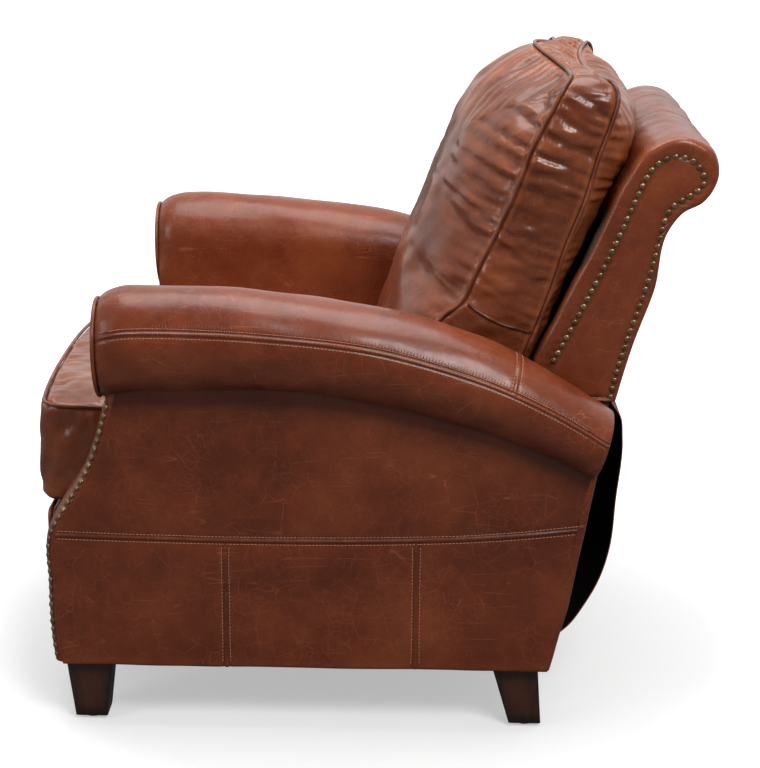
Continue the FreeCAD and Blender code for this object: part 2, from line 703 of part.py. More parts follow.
def build_links():
    """The swing links, the footrest linkage and the footrest."""
    running = PIN_RADIUS + RUNNING_CLEARANCE
    open_hole = PIN_RADIUS + OPEN_PIVOT_CLEARANCE
    save_sides("swing_link", swing_link())
    j_rivet = rivet(SWING_ARM_END, OUTER_LINK_X[0], SWING_X[1], False, True)
    save("swing_rivets", both_sides([j_rivet]))
    drive = plain_link([SWING_ARM_END, DRIVE_PIN], OUTER_LINK_X, [running, open_hole])
    save("drive_links", both_sides([drive]))
    rear = bar_chain([REAR_CRANK_END, REAR_CRANK_PIVOT, DRIVE_PIN], LINK_HALF_WIDTH, MIDDLE_LINK_X)
    rear = drill(rear, REAR_CRANK_PIVOT, running, MIDDLE_LINK_X)
    for centre in (REAR_CRANK_END, DRIVE_PIN):
        rear = drill(rear, centre, PIN_RADIUS, MIDDLE_LINK_X)
    save("footrest_rear_cranks", both_sides([rear]))
    outer_reach = (MIDDLE_LINK_X[0], OUTER_LINK_X[1])
    inner_reach = (SEAT_PLATE_X[0], MIDDLE_LINK_X[1])
    rear_rivets = [rivet(REAR_CRANK_END, *outer_reach, False, True)]
    rear_rivets.append(rivet(DRIVE_PIN, *outer_reach, False, False))
    save("rear_crank_rivets", both_sides(rear_rivets))
    front = plain_link(
        [FRONT_CRANK_PIVOT, FRONT_CRANK_END, FRONT_CRANK_TAIL],
        MIDDLE_LINK_X,
        [running, PIN_RADIUS, PIN_RADIUS],
    )
    save("footrest_front_cranks", both_sides([front]))
    front_rivets = [rivet(FRONT_CRANK_END, *outer_reach, False, True)]
    front_rivets.append(rivet(FRONT_CRANK_TAIL, *inner_reach, True, False))
    save("front_crank_rivets", both_sides(front_rivets))
    lift_pivots = [REAR_CRANK_END, FRONT_CRANK_END, FOOTREST_PIVOT]
    save("footrest_lift_links", both_sides([plain_link(lift_pivots, OUTER_LINK_X, [running] * 3)]))
    tilt = plain_link([FRONT_CRANK_TAIL, FOOTREST_TAIL], SEAT_PLATE_X, [running] * 2)
    save("footrest_tilt_links", both_sides([tilt]))
    save("footrest_brackets", both_sides([footrest_bracket()]))
    foot_rivets = [rivet(FOOTREST_PIVOT, *outer_reach, False, True)]
    foot_rivets.append(rivet(FOOTREST_TAIL, *inner_reach, True, False))
    save("footrest_rivets", both_sides(foot_rivets))
    board_low = (-250.0, -FOOTREST_BOARD[1], FOOTREST_BOTTOM_Z + 5.0)
    board_high = (250.0, -FOOTREST_BOARD[0], FOOTREST_TOP_Z - 5.0)
    save("footrest_board", box(board_low, board_high))
    save("footrest_pad", footrest_pad())


os.makedirs("parts", exist_ok=True)
build_sides()
build_base()
build_back()
build_seat()
build_links()
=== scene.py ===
"""Looks of the push-back recliner armchair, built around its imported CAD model.

Units are metres, +Z is up and the chair faces -Y. The left side of the chair is +X.
"""
import math

import bmesh
import bpy
import numpy as np
from mathutils import Matrix, Vector
from mathutils.bvhtree import BVHTree
from mathutils.kdtree import KDTree


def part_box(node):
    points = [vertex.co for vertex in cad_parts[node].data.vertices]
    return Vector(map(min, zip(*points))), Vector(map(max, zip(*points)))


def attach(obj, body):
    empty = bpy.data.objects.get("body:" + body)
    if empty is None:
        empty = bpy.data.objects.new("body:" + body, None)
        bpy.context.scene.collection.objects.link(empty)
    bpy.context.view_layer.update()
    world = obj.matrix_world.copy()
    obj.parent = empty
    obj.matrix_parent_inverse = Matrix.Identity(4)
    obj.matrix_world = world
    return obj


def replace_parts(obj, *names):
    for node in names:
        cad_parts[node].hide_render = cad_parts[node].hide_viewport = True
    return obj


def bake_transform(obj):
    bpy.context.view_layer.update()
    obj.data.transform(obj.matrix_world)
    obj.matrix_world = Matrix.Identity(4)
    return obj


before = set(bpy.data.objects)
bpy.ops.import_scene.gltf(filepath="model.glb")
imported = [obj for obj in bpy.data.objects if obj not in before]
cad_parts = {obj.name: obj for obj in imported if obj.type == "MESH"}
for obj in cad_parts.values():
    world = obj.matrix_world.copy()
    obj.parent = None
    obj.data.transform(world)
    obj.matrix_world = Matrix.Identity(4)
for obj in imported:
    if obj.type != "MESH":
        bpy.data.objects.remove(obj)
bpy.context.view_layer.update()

MM = 0.001
SIDES = {"left": 1.0, "right": -1.0}
LEATHER = {}


# ---- curves -------------------------------------------------------------------
PER_SPAN = 16                   # samples between two points of a smooth curve


def hermite(points):
    """Dense smooth curve through the points."""
    p = np.array(points, float)
    d = np.concatenate([[0.0], np.cumsum(np.linalg.norm(np.diff(p, axis=0), axis=1))])
    slope = np.diff(p, axis=0) / np.diff(d)[:, None]
    span = np.diff(d)[:, None]
    tangent = np.empty_like(p)
    tangent[1:-1] = (slope[1:] * span[:-1] + slope[:-1] * span[1:]) / (span[1:] + span[:-1])
    tangent[0] = 1.5 * slope[0] - 0.5 * tangent[1]
    tangent[-1] = 1.5 * slope[-1] - 0.5 * tangent[-2]
    t = np.linspace(0, 1, PER_SPAN, endpoint=False)[:, None]
    h00, h10 = 2 * t**3 - 3 * t**2 + 1, t**3 - 2 * t**2 + t
    h01, h11 = -2 * t**3 + 3 * t**2, t**3 - t**2
    out = []
    for i in range(len(p) - 1):
        m = span[i]
        out.append(h00 * p[i] + h10 * m * tangent[i] + h01 * p[i + 1] + h11 * m * tangent[i + 1])
    out.append(p[-1:])
    return np.vstack(out)


def arc_lengths(line):
    return np.concatenate([[0.0], np.cumsum(np.linalg.norm(np.diff(line, axis=0), axis=1))])


def resample(line, count=None, shares=None):
    """Points of a dense line at even spacing, or at the given shares of its length."""
    s = arc_lengths(line)
    at = np.linspace(0, s[-1], count) if shares is None else np.asarray(shares) * s[-1]
    return np.stack([np.interp(at, s, line[:, k]) for k in range(line.shape[1])], axis=1)


def smooth_line(points, count, closed=False):
    """Smooth curve through given points, evenly resampled."""
    p = np.array(points, float)
    if not closed:
        return resample(hermite(p), count)
    wrapped = np.vstack([p[-2:], p, p[:3]])
    dense = hermite(wrapped)[2 * PER_SPAN:(2 + len(p)) * PER_SPAN + 1]
    return resample(dense, count + 1)[:-1]


def height_of(line, y):
    """z of a (y, z) line at the given y values; the line runs towards +y."""
    return np.interp(y, line[:, 0], line[:, 1])


def lerp(a, b, t):
    return a + (b - a) * t


def unit(v):
    """The vector, or each row of an array, brought to length one."""
    return v / (np.linalg.norm(v) if v.ndim == 1 else np.linalg.norm(v, axis=1)[:, None])


def headings(line):
    """Unit direction of an open line at each of its points."""
    return unit(np.gradient(line, axis=0))


def bell(d, width):
    """Bump of height one at d = 0 that has faded out by about twice the width."""
    return np.exp(-((d / width) ** 2))


def at_x(x, line):
    """Points of a (y, z) line placed at x."""
    return np.column_stack([np.full(len(line), x), line])


def smooth_step(t):
    t = np.clip(t, 0.0, 1.0)
    return t * t * (3 - 2 * t)


def ticks(start, end, step, fine, offsets):
    """Even grid values with extra ones packed round the fine places."""
    values = list(np.linspace(start, end, max(2, int(round((end - start) / step)) + 1)))
    reach = max(abs(o) for o in offsets)
    for place in fine:
        values = [v for v in values if abs(v - place) > reach + 0.3 * step or v in (start, end)]
        values += [place + o for o in offsets if start < place + o < end]
    return np.array(sorted(values))


# ---- noise --------------------------------------------------------------------
RIPPLE_WAVES, BEAT_WAVES = 14, 9


def ripple(points, wavelength, seed, stretch=(1.0, 1.0, 1.0)):
    """Seeded smooth noise of about unit size, from cosines in random directions."""
    rng = np.random.default_rng(seed)
    q = np.asarray(points) / np.asarray(stretch)
    total = np.zeros(len(q))
    for _ in range(RIPPLE_WAVES):
        direction = unit(rng.normal(size=3))
        k = 2 * math.pi / (wavelength * rng.uniform(0.65, 1.5))
        total += np.cos(q @ direction * k + rng.uniform(0, 2 * math.pi))
    return total / math.sqrt(RIPPLE_WAVES / 2)


def beat(s, wavelength, seed):
    """Seeded one-dimensional noise of about unit size."""
    rng = np.random.default_rng(seed)
    total = np.zeros_like(s)
    for _ in range(BEAT_WAVES):
        k = 2 * math.pi / (wavelength * rng.uniform(0.6, 1.7))
        total += np.cos(s * k + rng.uniform(0, 2 * math.pi))
    return total / math.sqrt(BEAT_WAVES / 2)


# ---- mesh building ------------------------------------------------------------
def piece(name, verts, faces, material, outward=True):
    """New smooth-shaded mesh object; outward makes all its faces look outward."""
    mesh = bpy.data.meshes.new(name)
    mesh.from_pydata(np.asarray(verts).tolist(), [], faces)
    if outward:
        bm = bmesh.new()
        bm.from_mesh(mesh)
        bmesh.ops.recalc_face_normals(bm, faces=bm.faces)
        bm.to_mesh(mesh)
        bm.free()
    mesh.shade_smooth()
    mesh.materials.append(material)
    obj = bpy.data.objects.new(name, mesh)
    bpy.context.scene.collection.objects.link(obj)
    return obj


def grid_faces(rows, columns, start=0, closed_columns=False):
    faces = []
    for r in range(rows - 1):
        for c in range(columns if closed_columns else columns - 1):
            d = (c + 1) % columns
            a, b = start + r * columns, start + (r + 1) * columns
            faces.append((a + c, a + d, b + d, b + c))
    return faces


def loft(rings):
    """Vertices and faces of closed rings joined in order, both ends closed."""
    rings = np.asarray(rings)
    rows, columns = rings.shape[:2]
    faces = grid_faces(rows, columns, closed_columns=True)
    faces.append(tuple(range(columns)))
    faces.append(tuple((rows - 1) * columns + c for c in range(columns)))
    return rings.reshape(-1, 3), faces


def grid_rim(rows, columns):
    """Vertex numbers of a grid's rim, in order round it."""
    rim = [(0, c) for c in range(columns)] + [(r, columns - 1) for r in range(1, rows)]
    rim += [(rows - 1, c) for c in range(columns - 2, -1, -1)] + [(r, 0) for r in range(rows - 2, 0, -1)]
    return [r * columns + c for r, c in rim]


def band(a, b):
    """Faces between two closed loops of vertex numbers of the same length."""
    following = list(range(1, len(a))) + [0]
    return [(a[i], a[j], b[j], b[i]) for i, j in enumerate(following)]


def slab(front, back):
    """Closed plate between two grids of points with the same size."""
    front, back = np.asarray(front), np.asarray(back)
    rows, columns = front.shape[:2]
    n = rows * columns
    rim = grid_rim(rows, columns)
    faces = grid_faces(rows, columns) + grid_faces(rows, columns, start=n)
    faces += band(rim, [n + i for i in rim])
    return np.vstack([front.reshape(-1, 3), back.reshape(-1, 3)]), faces


def coordinates(obj):
    co = np.zeros(len(obj.data.vertices) * 3, np.float32)
    obj.data.vertices.foreach_get("co", co)
    return co.reshape(-1, 3).astype(float)


def set_coordinates(obj, co):
    obj.data.vertices.foreach_set("co", np.asarray(co, np.float32).ravel())
    obj.data.update()


def vertex_normals(obj):
    normals = np.zeros(len(obj.data.vertices) * 3, np.float32)
    obj.data.vertex_normals.foreach_get("vector", normals)
    return normals.reshape(-1, 3).astype(float)


def push(obj, amount):
    """Moves each vertex along its normal."""
    set_coordinates(obj, coordinates(obj) + vertex_normals(obj) * np.asarray(amount)[:, None])


def set_attribute(obj, name, values):
    attribute = obj.data.attributes.get(name) or obj.data.attributes.new(name, "FLOAT", "POINT")
    attribute.data.foreach_set("value", np.asarray(values, np.float32))


def refine(obj, levels):
    """Subdivides the mesh smoothly and keeps the result."""
    modifier = obj.modifiers.new("refine", "SUBSURF")
    modifier.levels = modifier.render_levels = levels
    bpy.context.view_layer.update()
    evaluated = obj.evaluated_get(bpy.context.evaluated_depsgraph_get())
    mesh = bpy.data.meshes.new_from_object(evaluated)
    obj.modifiers.clear()
    old, obj.data = obj.data, mesh
    bpy.data.meshes.remove(old)
    obj.data.name = obj.name
    obj.data.shade_smooth()
    return obj


def nearest_on(line, points):
    """Distance of each point to the line's samples, and the arc length there."""
    tree = KDTree(len(line))
    for i, p in enumerate(line):
        tree.insert(p, i)
    tree.balance()
    found = [tree.find(p)[1:] for p in np.asarray(points).tolist()]
    index, distance = zip(*found)
    return np.array(distance), arc_lengths(line)[list(index)]


def mirrored(points, side):
    return np.asarray(points) * np.array([side, 1.0, 1.0])


def surface_of(obj):
    """Search tree of an object's final surface."""
    mesh = obj.data
    co = [v.co[:] for v in mesh.vertices]
    return BVHTree.FromPolygons(co, [p.vertices[:] for p in mesh.polygons])


def laid_on(tree, points):
    """The points moved onto the surface, with the surface normals there."""
    places, normals = [], []
    for p in points:
        place, normal, _, _ = tree.find_nearest(Vector(p))
        places.append(place)
        normals.append(normal)
    return np.array(places), np.array(normals)


# ---- trim shapes --------------------------------------------------------------
def tube(line, radius, sides=10, closed=False):
    """Vertices and faces of a round piping along a line; an open one is a little uneven."""
    line = np.asarray(line, float)
    n = len(line)
    ahead = np.roll(line, -1, axis=0) - np.roll(line, 1, axis=0)
    if not closed:
        ahead[0], ahead[-1] = line[1] - line[0], line[-1] - line[-2]
    ahead = unit(ahead)
    normal = unit(np.cross(ahead[0], [0.31, 0.52, 0.79]))
    wobble = np.ones(n) if closed else 1 + 0.05 * beat(arc_lengths(line), 0.03, 0)
    a = np.linspace(0, 2 * math.pi, sides, endpoint=False)
    rings = []
    for i in range(n):
        normal = unit(normal - ahead[i] * (normal @ ahead[i]))
        other = np.cross(ahead[i], normal)
        r = radius * wobble[i]
        if not closed and i in (0, n - 1):
            r *= 0.4
        rings.append(line[i] + r * (np.cos(a)[:, None] * normal + np.sin(a)[:, None] * other))
    if not closed:
        return loft(rings)
    turn = best_turn(rings[-1], rings[0])
    verts = np.asarray(rings).reshape(-1, 3)
    faces = grid_faces(n, sides, closed_columns=True)
    last = (n - 1) * sides
    for c in range(sides):
        d = (c + 1) % sides
        faces.append((last + c, last + d, (d + turn) % sides, (c + turn) % sides))
    return verts, faces


def best_turn(ring, target):
    """How far to turn the target ring's numbering so that it meets the other best."""
    turned = [np.roll(target, -k, axis=0) for k in range(len(ring))]
    costs = [np.linalg.norm(ring - other, axis=1).sum() for other in turned]
    return int(np.argmin(costs))


def merged(parts):
    """One vertex and face list from several."""
    verts, faces, start = [], [], 0
    for v, f in parts:
        verts.append(np.asarray(v))
        faces += [tuple(i + start for i in face) for face in f]
        start += len(v)
    return np.vstack(verts), faces


def capsule(centre, along, out, length, radius, flat):
    """Small rounded bar that lies on a surface, for a stitch or a gather."""
    across = np.cross(along, out)
    a = np.linspace(0, 2 * math.pi, 6, endpoint=False)
    rings = []
    for share, size in ((-0.5, 0.35), (-0.36, 0.85), (0.0, 1.0), (0.36, 0.85), (0.5, 0.35)):
        ring = centre + along * share * length
        ring = ring + radius * size * (np.cos(a)[:, None] * across + flat * np.sin(a)[:, None] * out)
        rings.append(ring)
    return loft(rings)


def stitch_row(tree, line, pitch=5.2 * MM, length=4.0 * MM, radius=0.62 * MM, crosswise=False,
               lift=0.2 * MM, flat=1.0, seed=1):
    """Stitches along a line laid on a surface, or short bars across it."""
    rng = np.random.default_rng(seed)
    count = max(2, int(arc_lengths(line)[-1] / pitch))
    spots = resample(line, count)
    places, normals = laid_on(tree, spots)
    parts = []
    for i in range(1, count - 1):
        along = places[i + 1] - places[i - 1]
        size = np.linalg.norm(along)
        if size < 1e-6:
            continue
        along /= size
        out = unit(normals[i] - along * (normals[i] @ along))
        if crosswise:
            along = unit(np.cross(along, out) + along * rng.normal(0, 0.12))
        scale = 1 + rng.normal(0, 0.05)
        parts.append(capsule(places[i] + out * lift, along, out, length * scale, radius, flat))
    return parts


# ---- materials ----------------------------------------------------------------
class Graph:
    """Short way to build the nodes of a material or of the world."""

    def __init__(self, name, world=False):
        self.owner = (bpy.data.worlds if world else bpy.data.materials).new(name)
        self.owner.use_nodes = True
        self.tree = self.owner.node_tree
        self.tree.nodes.clear()
        self.output = self.tree.nodes.new("ShaderNodeOutputWorld" if world else "ShaderNodeOutputMaterial")
        self.place = self.add("ShaderNodeTexCoord").outputs["Generated" if world else "Object"]

    def add(self, kind, inputs=None, **settings):
        node = self.tree.nodes.new(kind)
        for key, value in settings.items():
            setattr(node, key, value)
        for key, value in (inputs or {}).items():
            if isinstance(value, bpy.types.NodeSocket):
                self.tree.links.new(value, node.inputs[key])
            else:
                node.inputs[key].default_value = value
        return node

    def noise(self, scale, detail=3.0, rough=0.55, vector=None, distortion=0.0):
        inputs = {"Vector": vector or self.place, "Scale": scale, "Detail": detail}
        inputs.update({"Roughness": rough, "Distortion": distortion})
        return self.add("ShaderNodeTexNoise", inputs).outputs["Fac"]

    def voronoi(self, scale, feature="F1", vector=None):
        inputs = {"Vector": vector or self.place, "Scale": scale}
        return self.add("ShaderNodeTexVoronoi", inputs, feature=feature).outputs["Distance"]

    def ramp(self, value, *stops):
        node = self.add("ShaderNodeValToRGB", {"Fac": value})
        elements = node.color_ramp.elements
        while len(elements) < len(stops):
            elements.new(0.5)
        for element, (position, colour) in zip(elements, stops):
            element.position = position
            element.color = (*colour, 1.0)
        return node.outputs["Color"]

    def math(self, operation, a, b=0.5):
        return self.add("ShaderNodeMath", {0: a, 1: b}, operation=operation).outputs[0]

    def mix(self, factor, a, b):
        node = self.add("ShaderNodeMix", data_type="RGBA")
        for key, value in (("Factor", factor), ("A", a), ("B", b)):
            socket = [s for s in node.inputs if s.name == key and s.enabled][0]
            if isinstance(value, bpy.types.NodeSocket):
                self.tree.links.new(value, socket)
            else:
                socket.default_value = (*value, 1.0) if hasattr(value, "__len__") else value
        return [s for s in node.outputs if s.enabled][0]

    def remap(self, value, low, high, to_low=0.0, to_high=1.0):
        inputs = {"Value": value, "From Min": low, "From Max": high, "To Min": to_low, "To Max": to_high}
        return self.add("ShaderNodeMapRange", inputs).outputs["Result"]

    def attribute(self, name):
        return self.add("ShaderNodeAttribute", attribute_name=name).outputs["Fac"]

    def bump(self, height, distance, strength=1.0, normal=None):
        inputs = {"Height": height, "Distance": distance, "Strength": strength}
        if normal is not None:
            inputs["Normal"] = normal
        return self.add("ShaderNodeBump", inputs).outputs["Normal"]

    def stretched(self, scale):
        return self.add("ShaderNodeMapping", {"Vector": self.place, "Scale": scale}).outputs["Vector"]

    def finish(self, shader):
        self.tree.links.new(shader.outputs[0], self.output.inputs["Surface"])
        return self.owner

    def principled(self, **inputs):
        named = {key.replace("_", " "): value for key, value in inputs.items()}
        return self.finish(self.add("ShaderNodeBsdfPrincipled", named))


def scratches(g, bent):
    """Fine pale lines in waxed leather: a broken net of veins and a few long scores."""
    net = None
    for scale, width, seed in ((24.0, 0.015, 3.0), (47.0, 0.021, 8.0), (80.0, 0.028, 13.0)):
        veins = g.remap(g.voronoi(scale, "DISTANCE_TO_EDGE", vector=bent), 0.0, width, 1.0, 0.0)
        shifted = g.add("ShaderNodeVectorMath", {0: g.place, 1: (seed, seed, seed)}, operation="ADD")
        where = g.remap(g.noise(11.0, 5.0, 0.7, vector=shifted.outputs[0]), 0.45, 0.66, 0.0, 0.85)
        veins = g.math("MULTIPLY", veins, where)
        net = veins if net is None else g.math("MAXIMUM", net, veins)
    for turn, scale, width in (((0.5, 0.2, 0.3), 7.0, 0.008), ((-0.7, 0.4, -0.2), 9.0, 0.007)):
        vector = g.add("ShaderNodeMapping", {"Vector": g.place, "Rotation": turn, "Scale": (9.0, 0.7, 9.0)})
        field = g.noise(scale * 0.5, 1.0, 0.4, vector=vector.outputs["Vector"])
        score = g.remap(g.math("ABSOLUTE", g.math("SUBTRACT", field, 0.5)), 0.0, width, 1.0, 0.0)
        where = g.remap(g.noise(6.0 + scale, 3.0, 0.6), 0.54, 0.64)
        net = g.math("MAXIMUM", net, g.math("MULTIPLY", score, where))
    return net


def leather_material(name, dark, mid, light, scar=0.58, coat=0.10, gloss=0.32):
    """Waxed pull-up leather: mottled dye, rubbed edges, fine scars and grain, with painted sheen and painted
    shade from mesh attributes.
    """
    g = Graph(name)
    drift = g.add("ShaderNodeTexNoise", {"Vector": g.place, "Scale": 14.0, "Detail": 3.0})
    small = {0: drift.outputs["Color"], 1: (0.012, 0.012, 0.012)}
    drift = g.add("ShaderNodeVectorMath", small, operation="MULTIPLY").outputs[0]
    bent = g.add("ShaderNodeVectorMath", {0: g.place, 1: drift}, operation="ADD").outputs[0]
    cloud = g.noise(5.5, 6.0, 0.65, vector=bent)
    dye = g.ramp(cloud, (0.34, dark), (0.50, mid), (0.66, light))
    patches = g.remap(g.noise(24.0, 5.0, 0.65), 0.35, 0.7)
    dye = g.mix(g.math("MULTIPLY", patches, 0.35), dye, tuple(0.62 * c for c in mid))
    lines = scratches(g, bent)
    scars = g.math("MULTIPLY", lines, scar)
    dye = g.mix(scars, dye, tuple(min(1.0, 1.7 * c + 0.03) for c in light))
    wear_and_painted_light, painted_shade_and_dark_rim = g.attribute("wear_and_painted_light"), g.attribute("painted_shade_and_dark_rim")
    # made lighter by the attribute: worn edges and seams, crests, and painted light (sheen on up-facing
    # parts, the lit rear side of the back cushion)
    rubbed = g.math("MULTIPLY", wear_and_painted_light, g.remap(g.noise(60.0, 3.0), 0.3, 0.6, 0.5, 1.0))
    dye = g.mix(rubbed, dye, tuple(min(1.0, 1.35 * c + 0.012) for c in light))
    # painted shade: darker in seam grooves, folds, hollows and nail rows, under the arm roll and towards its
    # front
    dye = g.mix(g.math("MULTIPLY", painted_shade_and_dark_rim, 0.85), dye, tuple(0.3 * c for c in dark))
    grain = g.voronoi(620.0, "F1")
    pores = g.noise(1500.0, 2.0)
    skin = g.math("ADD", g.math("MULTIPLY", grain, 0.6), g.math("MULTIPLY", pores, 0.4))
    fine = g.bump(skin, 0.25 * MM, 0.30)
    wide = g.bump(g.noise(85.0, 4.0, 0.6), 1.2 * MM, 0.38, normal=fine)
    cut = g.bump(lines, -0.12 * MM, 0.5, normal=wide)
    rough = g.remap(g.noise(33.0, 4.0, 0.65), 0.3, 0.7, gloss - 0.07, gloss + 0.08)
    rough = g.math("SUBTRACT", rough, g.math("MULTIPLY", wear_and_painted_light, 0.06))
    return g.principled(
        Base_Color=dye, Roughness=rough, Normal=cut, Specular_IOR_Level=0.42,
        Coat_Weight=coat, Coat_Roughness=0.14,
    )


def leg_material():
    """Dark espresso wood, rubbed brown in the middle of each face."""
    g = Graph("leg_wood")
    grain = g.noise(3.0, 6.0, 0.62, vector=g.stretched((38.0, 38.0, 3.0)), distortion=0.6)
    stain = g.ramp(grain, (0.35, (0.012, 0.007, 0.005)), (0.60, (0.040, 0.016, 0.009)))
    glow = g.math("MULTIPLY", g.attribute("wear_and_painted_light"), g.remap(g.noise(30.0, 3.0), 0.3, 0.7, 0.6, 1.0))
    stain = g.mix(g.math("MULTIPLY", glow, 0.6), stain, (0.125, 0.034, 0.015))
    pores = g.noise(9.0, 5.0, 0.7, vector=g.stretched((160.0, 160.0, 9.0)))
    return g.principled(
        Base_Color=stain, Roughness=g.remap(grain, 0.3, 0.7, 0.30, 0.44),
        Normal=g.bump(pores, 0.3 * MM, 0.35), Coat_Weight=0.25, Coat_Roughness=0.15,
    )


def brass_material():
    """Antique brass nail heads, darker towards the rim and uneven from nail to nail."""
    g = Graph("antique_brass")
    tone, rim = g.attribute("tone"), g.attribute("painted_shade_and_dark_rim")
    tarnish = g.remap(g.noise(420.0, 3.0), 0.35, 0.65)
    metal = g.mix(tone, (0.20, 0.130, 0.060), (0.40, 0.290, 0.150))
    metal = g.mix(g.math("MULTIPLY", tarnish, 0.35), metal, (0.13, 0.075, 0.035))
    metal = g.mix(rim, metal, (0.045, 0.026, 0.014))
    return g.principled(
        Base_Color=metal, Metallic=0.92, Roughness=g.remap(tarnish, 0.0, 1.0, 0.30, 0.5),
        Normal=g.bump(g.noise(700.0, 2.0), 0.12 * MM, 0.4),
    )


def painted_shade_wood_material():
    """Hardwood and plywood of the hidden frame, with grain, coloured very dark as painted shade for the gaps
    it shows through.
    """
    g = Graph("frame_wood")
    grain = g.noise(3.0, 6.0, 0.6, vector=g.stretched((6.0, 40.0, 40.0)), distortion=0.8)
    colour = g.ramp(grain, (0.3, (0.034, 0.019, 0.011)), (0.6, (0.078, 0.046, 0.026)))
    return g.principled(Base_Color=colour, Roughness=0.62, Normal=g.bump(grain, 0.4 * MM, 0.4))


def enamel_material():
    """Black enamelled mechanism plates."""
    g = Graph("mechanism_enamel")
    chips = g.remap(g.noise(140.0, 4.0, 0.7), 0.62, 0.72)
    colour = g.mix(g.math("MULTIPLY", chips, 0.35), (0.014, 0.014, 0.016), (0.07, 0.066, 0.06))
    rough = g.remap(g.noise(60.0, 3.0), 0.3, 0.7, 0.34, 0.5)
    return g.principled(
        Base_Color=colour, Roughness=rough, Normal=g.bump(g.noise(500.0, 3.0), 0.15 * MM, 0.4)
    )


def zinc_material():
    """Zinc plated rivets and bolts."""
    g = Graph("zinc_plate")
    spangle = g.noise(260.0, 3.0)
    colour = g.ramp(spangle, (0.35, (0.38, 0.38, 0.37)), (0.65, (0.62, 0.62, 0.60)))
    return g.principled(
        Base_Color=colour, Metallic=1.0, Roughness=g.remap(spangle, 0.3, 0.7, 0.28, 0.45),
        Normal=g.bump(spangle, 0.1 * MM, 0.3),
    )


def woven_material(name, thread, gap, pitch):
    """Flat weave with both threads raised in turn."""
    g = Graph(name)
    inputs = {"Vector": g.place, "Scale": 0.5 / pitch, "Distortion": 0.6, "Detail": 1.0}
    warp = g.add("ShaderNodeTexWave", inputs, bands_direction="X").outputs["Fac"]
    weft = g.add("ShaderNodeTexWave", inputs, bands_direction="Y").outputs["Fac"]
    weave = g.math("MAXIMUM", warp, weft)
    colour = g.mix(weave, gap, thread)
    colour = g.mix(g.remap(g.noise(40.0), 0.3, 0.7, 0.0, 0.3), colour, gap)
    return g.principled(Base_Color=colour, Roughness=0.85, Normal=g.bump(weave, pitch * 0.3, 0.6))


def plastic_material():
    """Black nylon glides."""
    g = Graph("glide_nylon")
    scuff = g.noise(90.0, 4.0, 0.7)
    colour = g.ramp(scuff, (0.45, (0.016, 0.016, 0.016)), (0.75, (0.05, 0.05, 0.05)))
    return g.principled(
        Base_Color=colour, Roughness=0.55, Normal=g.bump(g.noise(300.0), 0.1 * MM, 0.4)
    )


def lining_and_shade_material():
    """Black felted cloth: the flap's back, the dust cover and the back's hidden recess. The dust cover is
    real; in the recess and on the flap's back the black also stands in as painted shade.
    """
    g = Graph("black_lining_and_painted_shade")
    nap = g.noise(650.0, 4.0, 0.7)
    colour = g.ramp(nap, (0.3, (0.004, 0.004, 0.004)), (0.7, (0.014, 0.012, 0.011)))
    return g.principled(
        Base_Color=colour, Roughness=0.95, Normal=g.bump(nap, 0.3 * MM, 0.5), Specular_IOR_Level=0.1
    )


def thread_material():
    """Waxed tan thread."""
    g = Graph("tan_thread")
    twist = g.noise(900.0, 2.0)
    colour = g.ramp(twist, (0.3, (0.42, 0.19, 0.095)), (0.7, (0.60, 0.31, 0.17)))
    return g.principled(Base_Color=colour, Roughness=0.62, Normal=g.bump(twist, 0.1 * MM, 0.5))


LEATHER["body"] = leather_material(
    "cognac_leather", (0.112, 0.0190, 0.0060), (0.190, 0.0370, 0.0115), (0.265, 0.0600, 0.0180)
)
LEATHER["cushion"] = leather_material(
    "cushion_leather", (0.120, 0.0235, 0.0075), (0.205, 0.0460, 0.0135), (0.290, 0.0780, 0.0220),
    scar=0.35, coat=0.30, gloss=0.33,
)
LEATHER["piping"] = leather_material(
    "piping_leather", (0.075, 0.015, 0.006), (0.145, 0.031, 0.011), (0.250, 0.062, 0.020), scar=0.2
)
MATERIALS = {
    "legs": leg_material(),
    "brass": brass_material(),
    "wood": painted_shade_wood_material(),
    "enamel": enamel_material(),
    "zinc": zinc_material(),
    "webbing": woven_material("webbing_weave", (0.05, 0.045, 0.04), (0.012, 0.011, 0.010), 2.0 * MM),
    "deck": woven_material("deck_weave", (0.030, 0.024, 0.020), (0.008, 0.006, 0.005), 1.0 * MM),
    "plastic": plastic_material(),
    "thread": thread_material(),
    "lining": lining_and_shade_material(),
}


# ---- arms ---------------------------------------------------------------------
NAIL_PITCH = 0.0125
ROLL_X = 0.349                  # middle of the roll across the chair
ROLL_HALF_WIDTH = 0.073
ROLL_TAPER = 0.040              # length over which the front of the roll narrows
ROLL_TOP = [(-.3865, .6510), (-.3760, .6615), (-.3560, .6685), (-.3200, .6715), (-.2840, .6720),
            (-.2040, .6690), (-.1240, .6620), (-.0430, .6530), (.0360, .6400), (.1040, .6220),
            (.2080, .5830), (.2780, .5450), (.3550, .4950)]
ROLL_BOTTOM = [(-.3830, .5100), (-.3720, .5075), (-.3430, .5110), (-.2900, .5120), (-.2360, .5120),
               (-.1650, .5130), (-.0930, .5115), (-.0070, .5030), (.0780, .4840), (.1640, .4620),
               (.2100, .4470), (.2600, .4270), (.3230, .3930)]
ROLL_RADIUS = 0.0765            # for turning angles round the roll into lengths
SEAM_GROOVE = 4.2 * MM          # from the middle of a topstitched seam to its grooves
SEAM_ANGLE = 20.0               # of the roll's long seam above its middle, degrees
CROSS_SEAM_Y = 0.205
INNER_X = 0.276                 # seat side of the arm
INNER_LOW_Z = 0.3125
PANEL_X = 0.392                 # outside of the side panels
FACING_CURVE = [(-.461, .102), (-.4665, .155), (-.4675, .231), (-.4655, .306), (-.444, .347),
                (-.4095, .405), (-.3825, .484), (-.375, .512), (-.3700, .5400)]
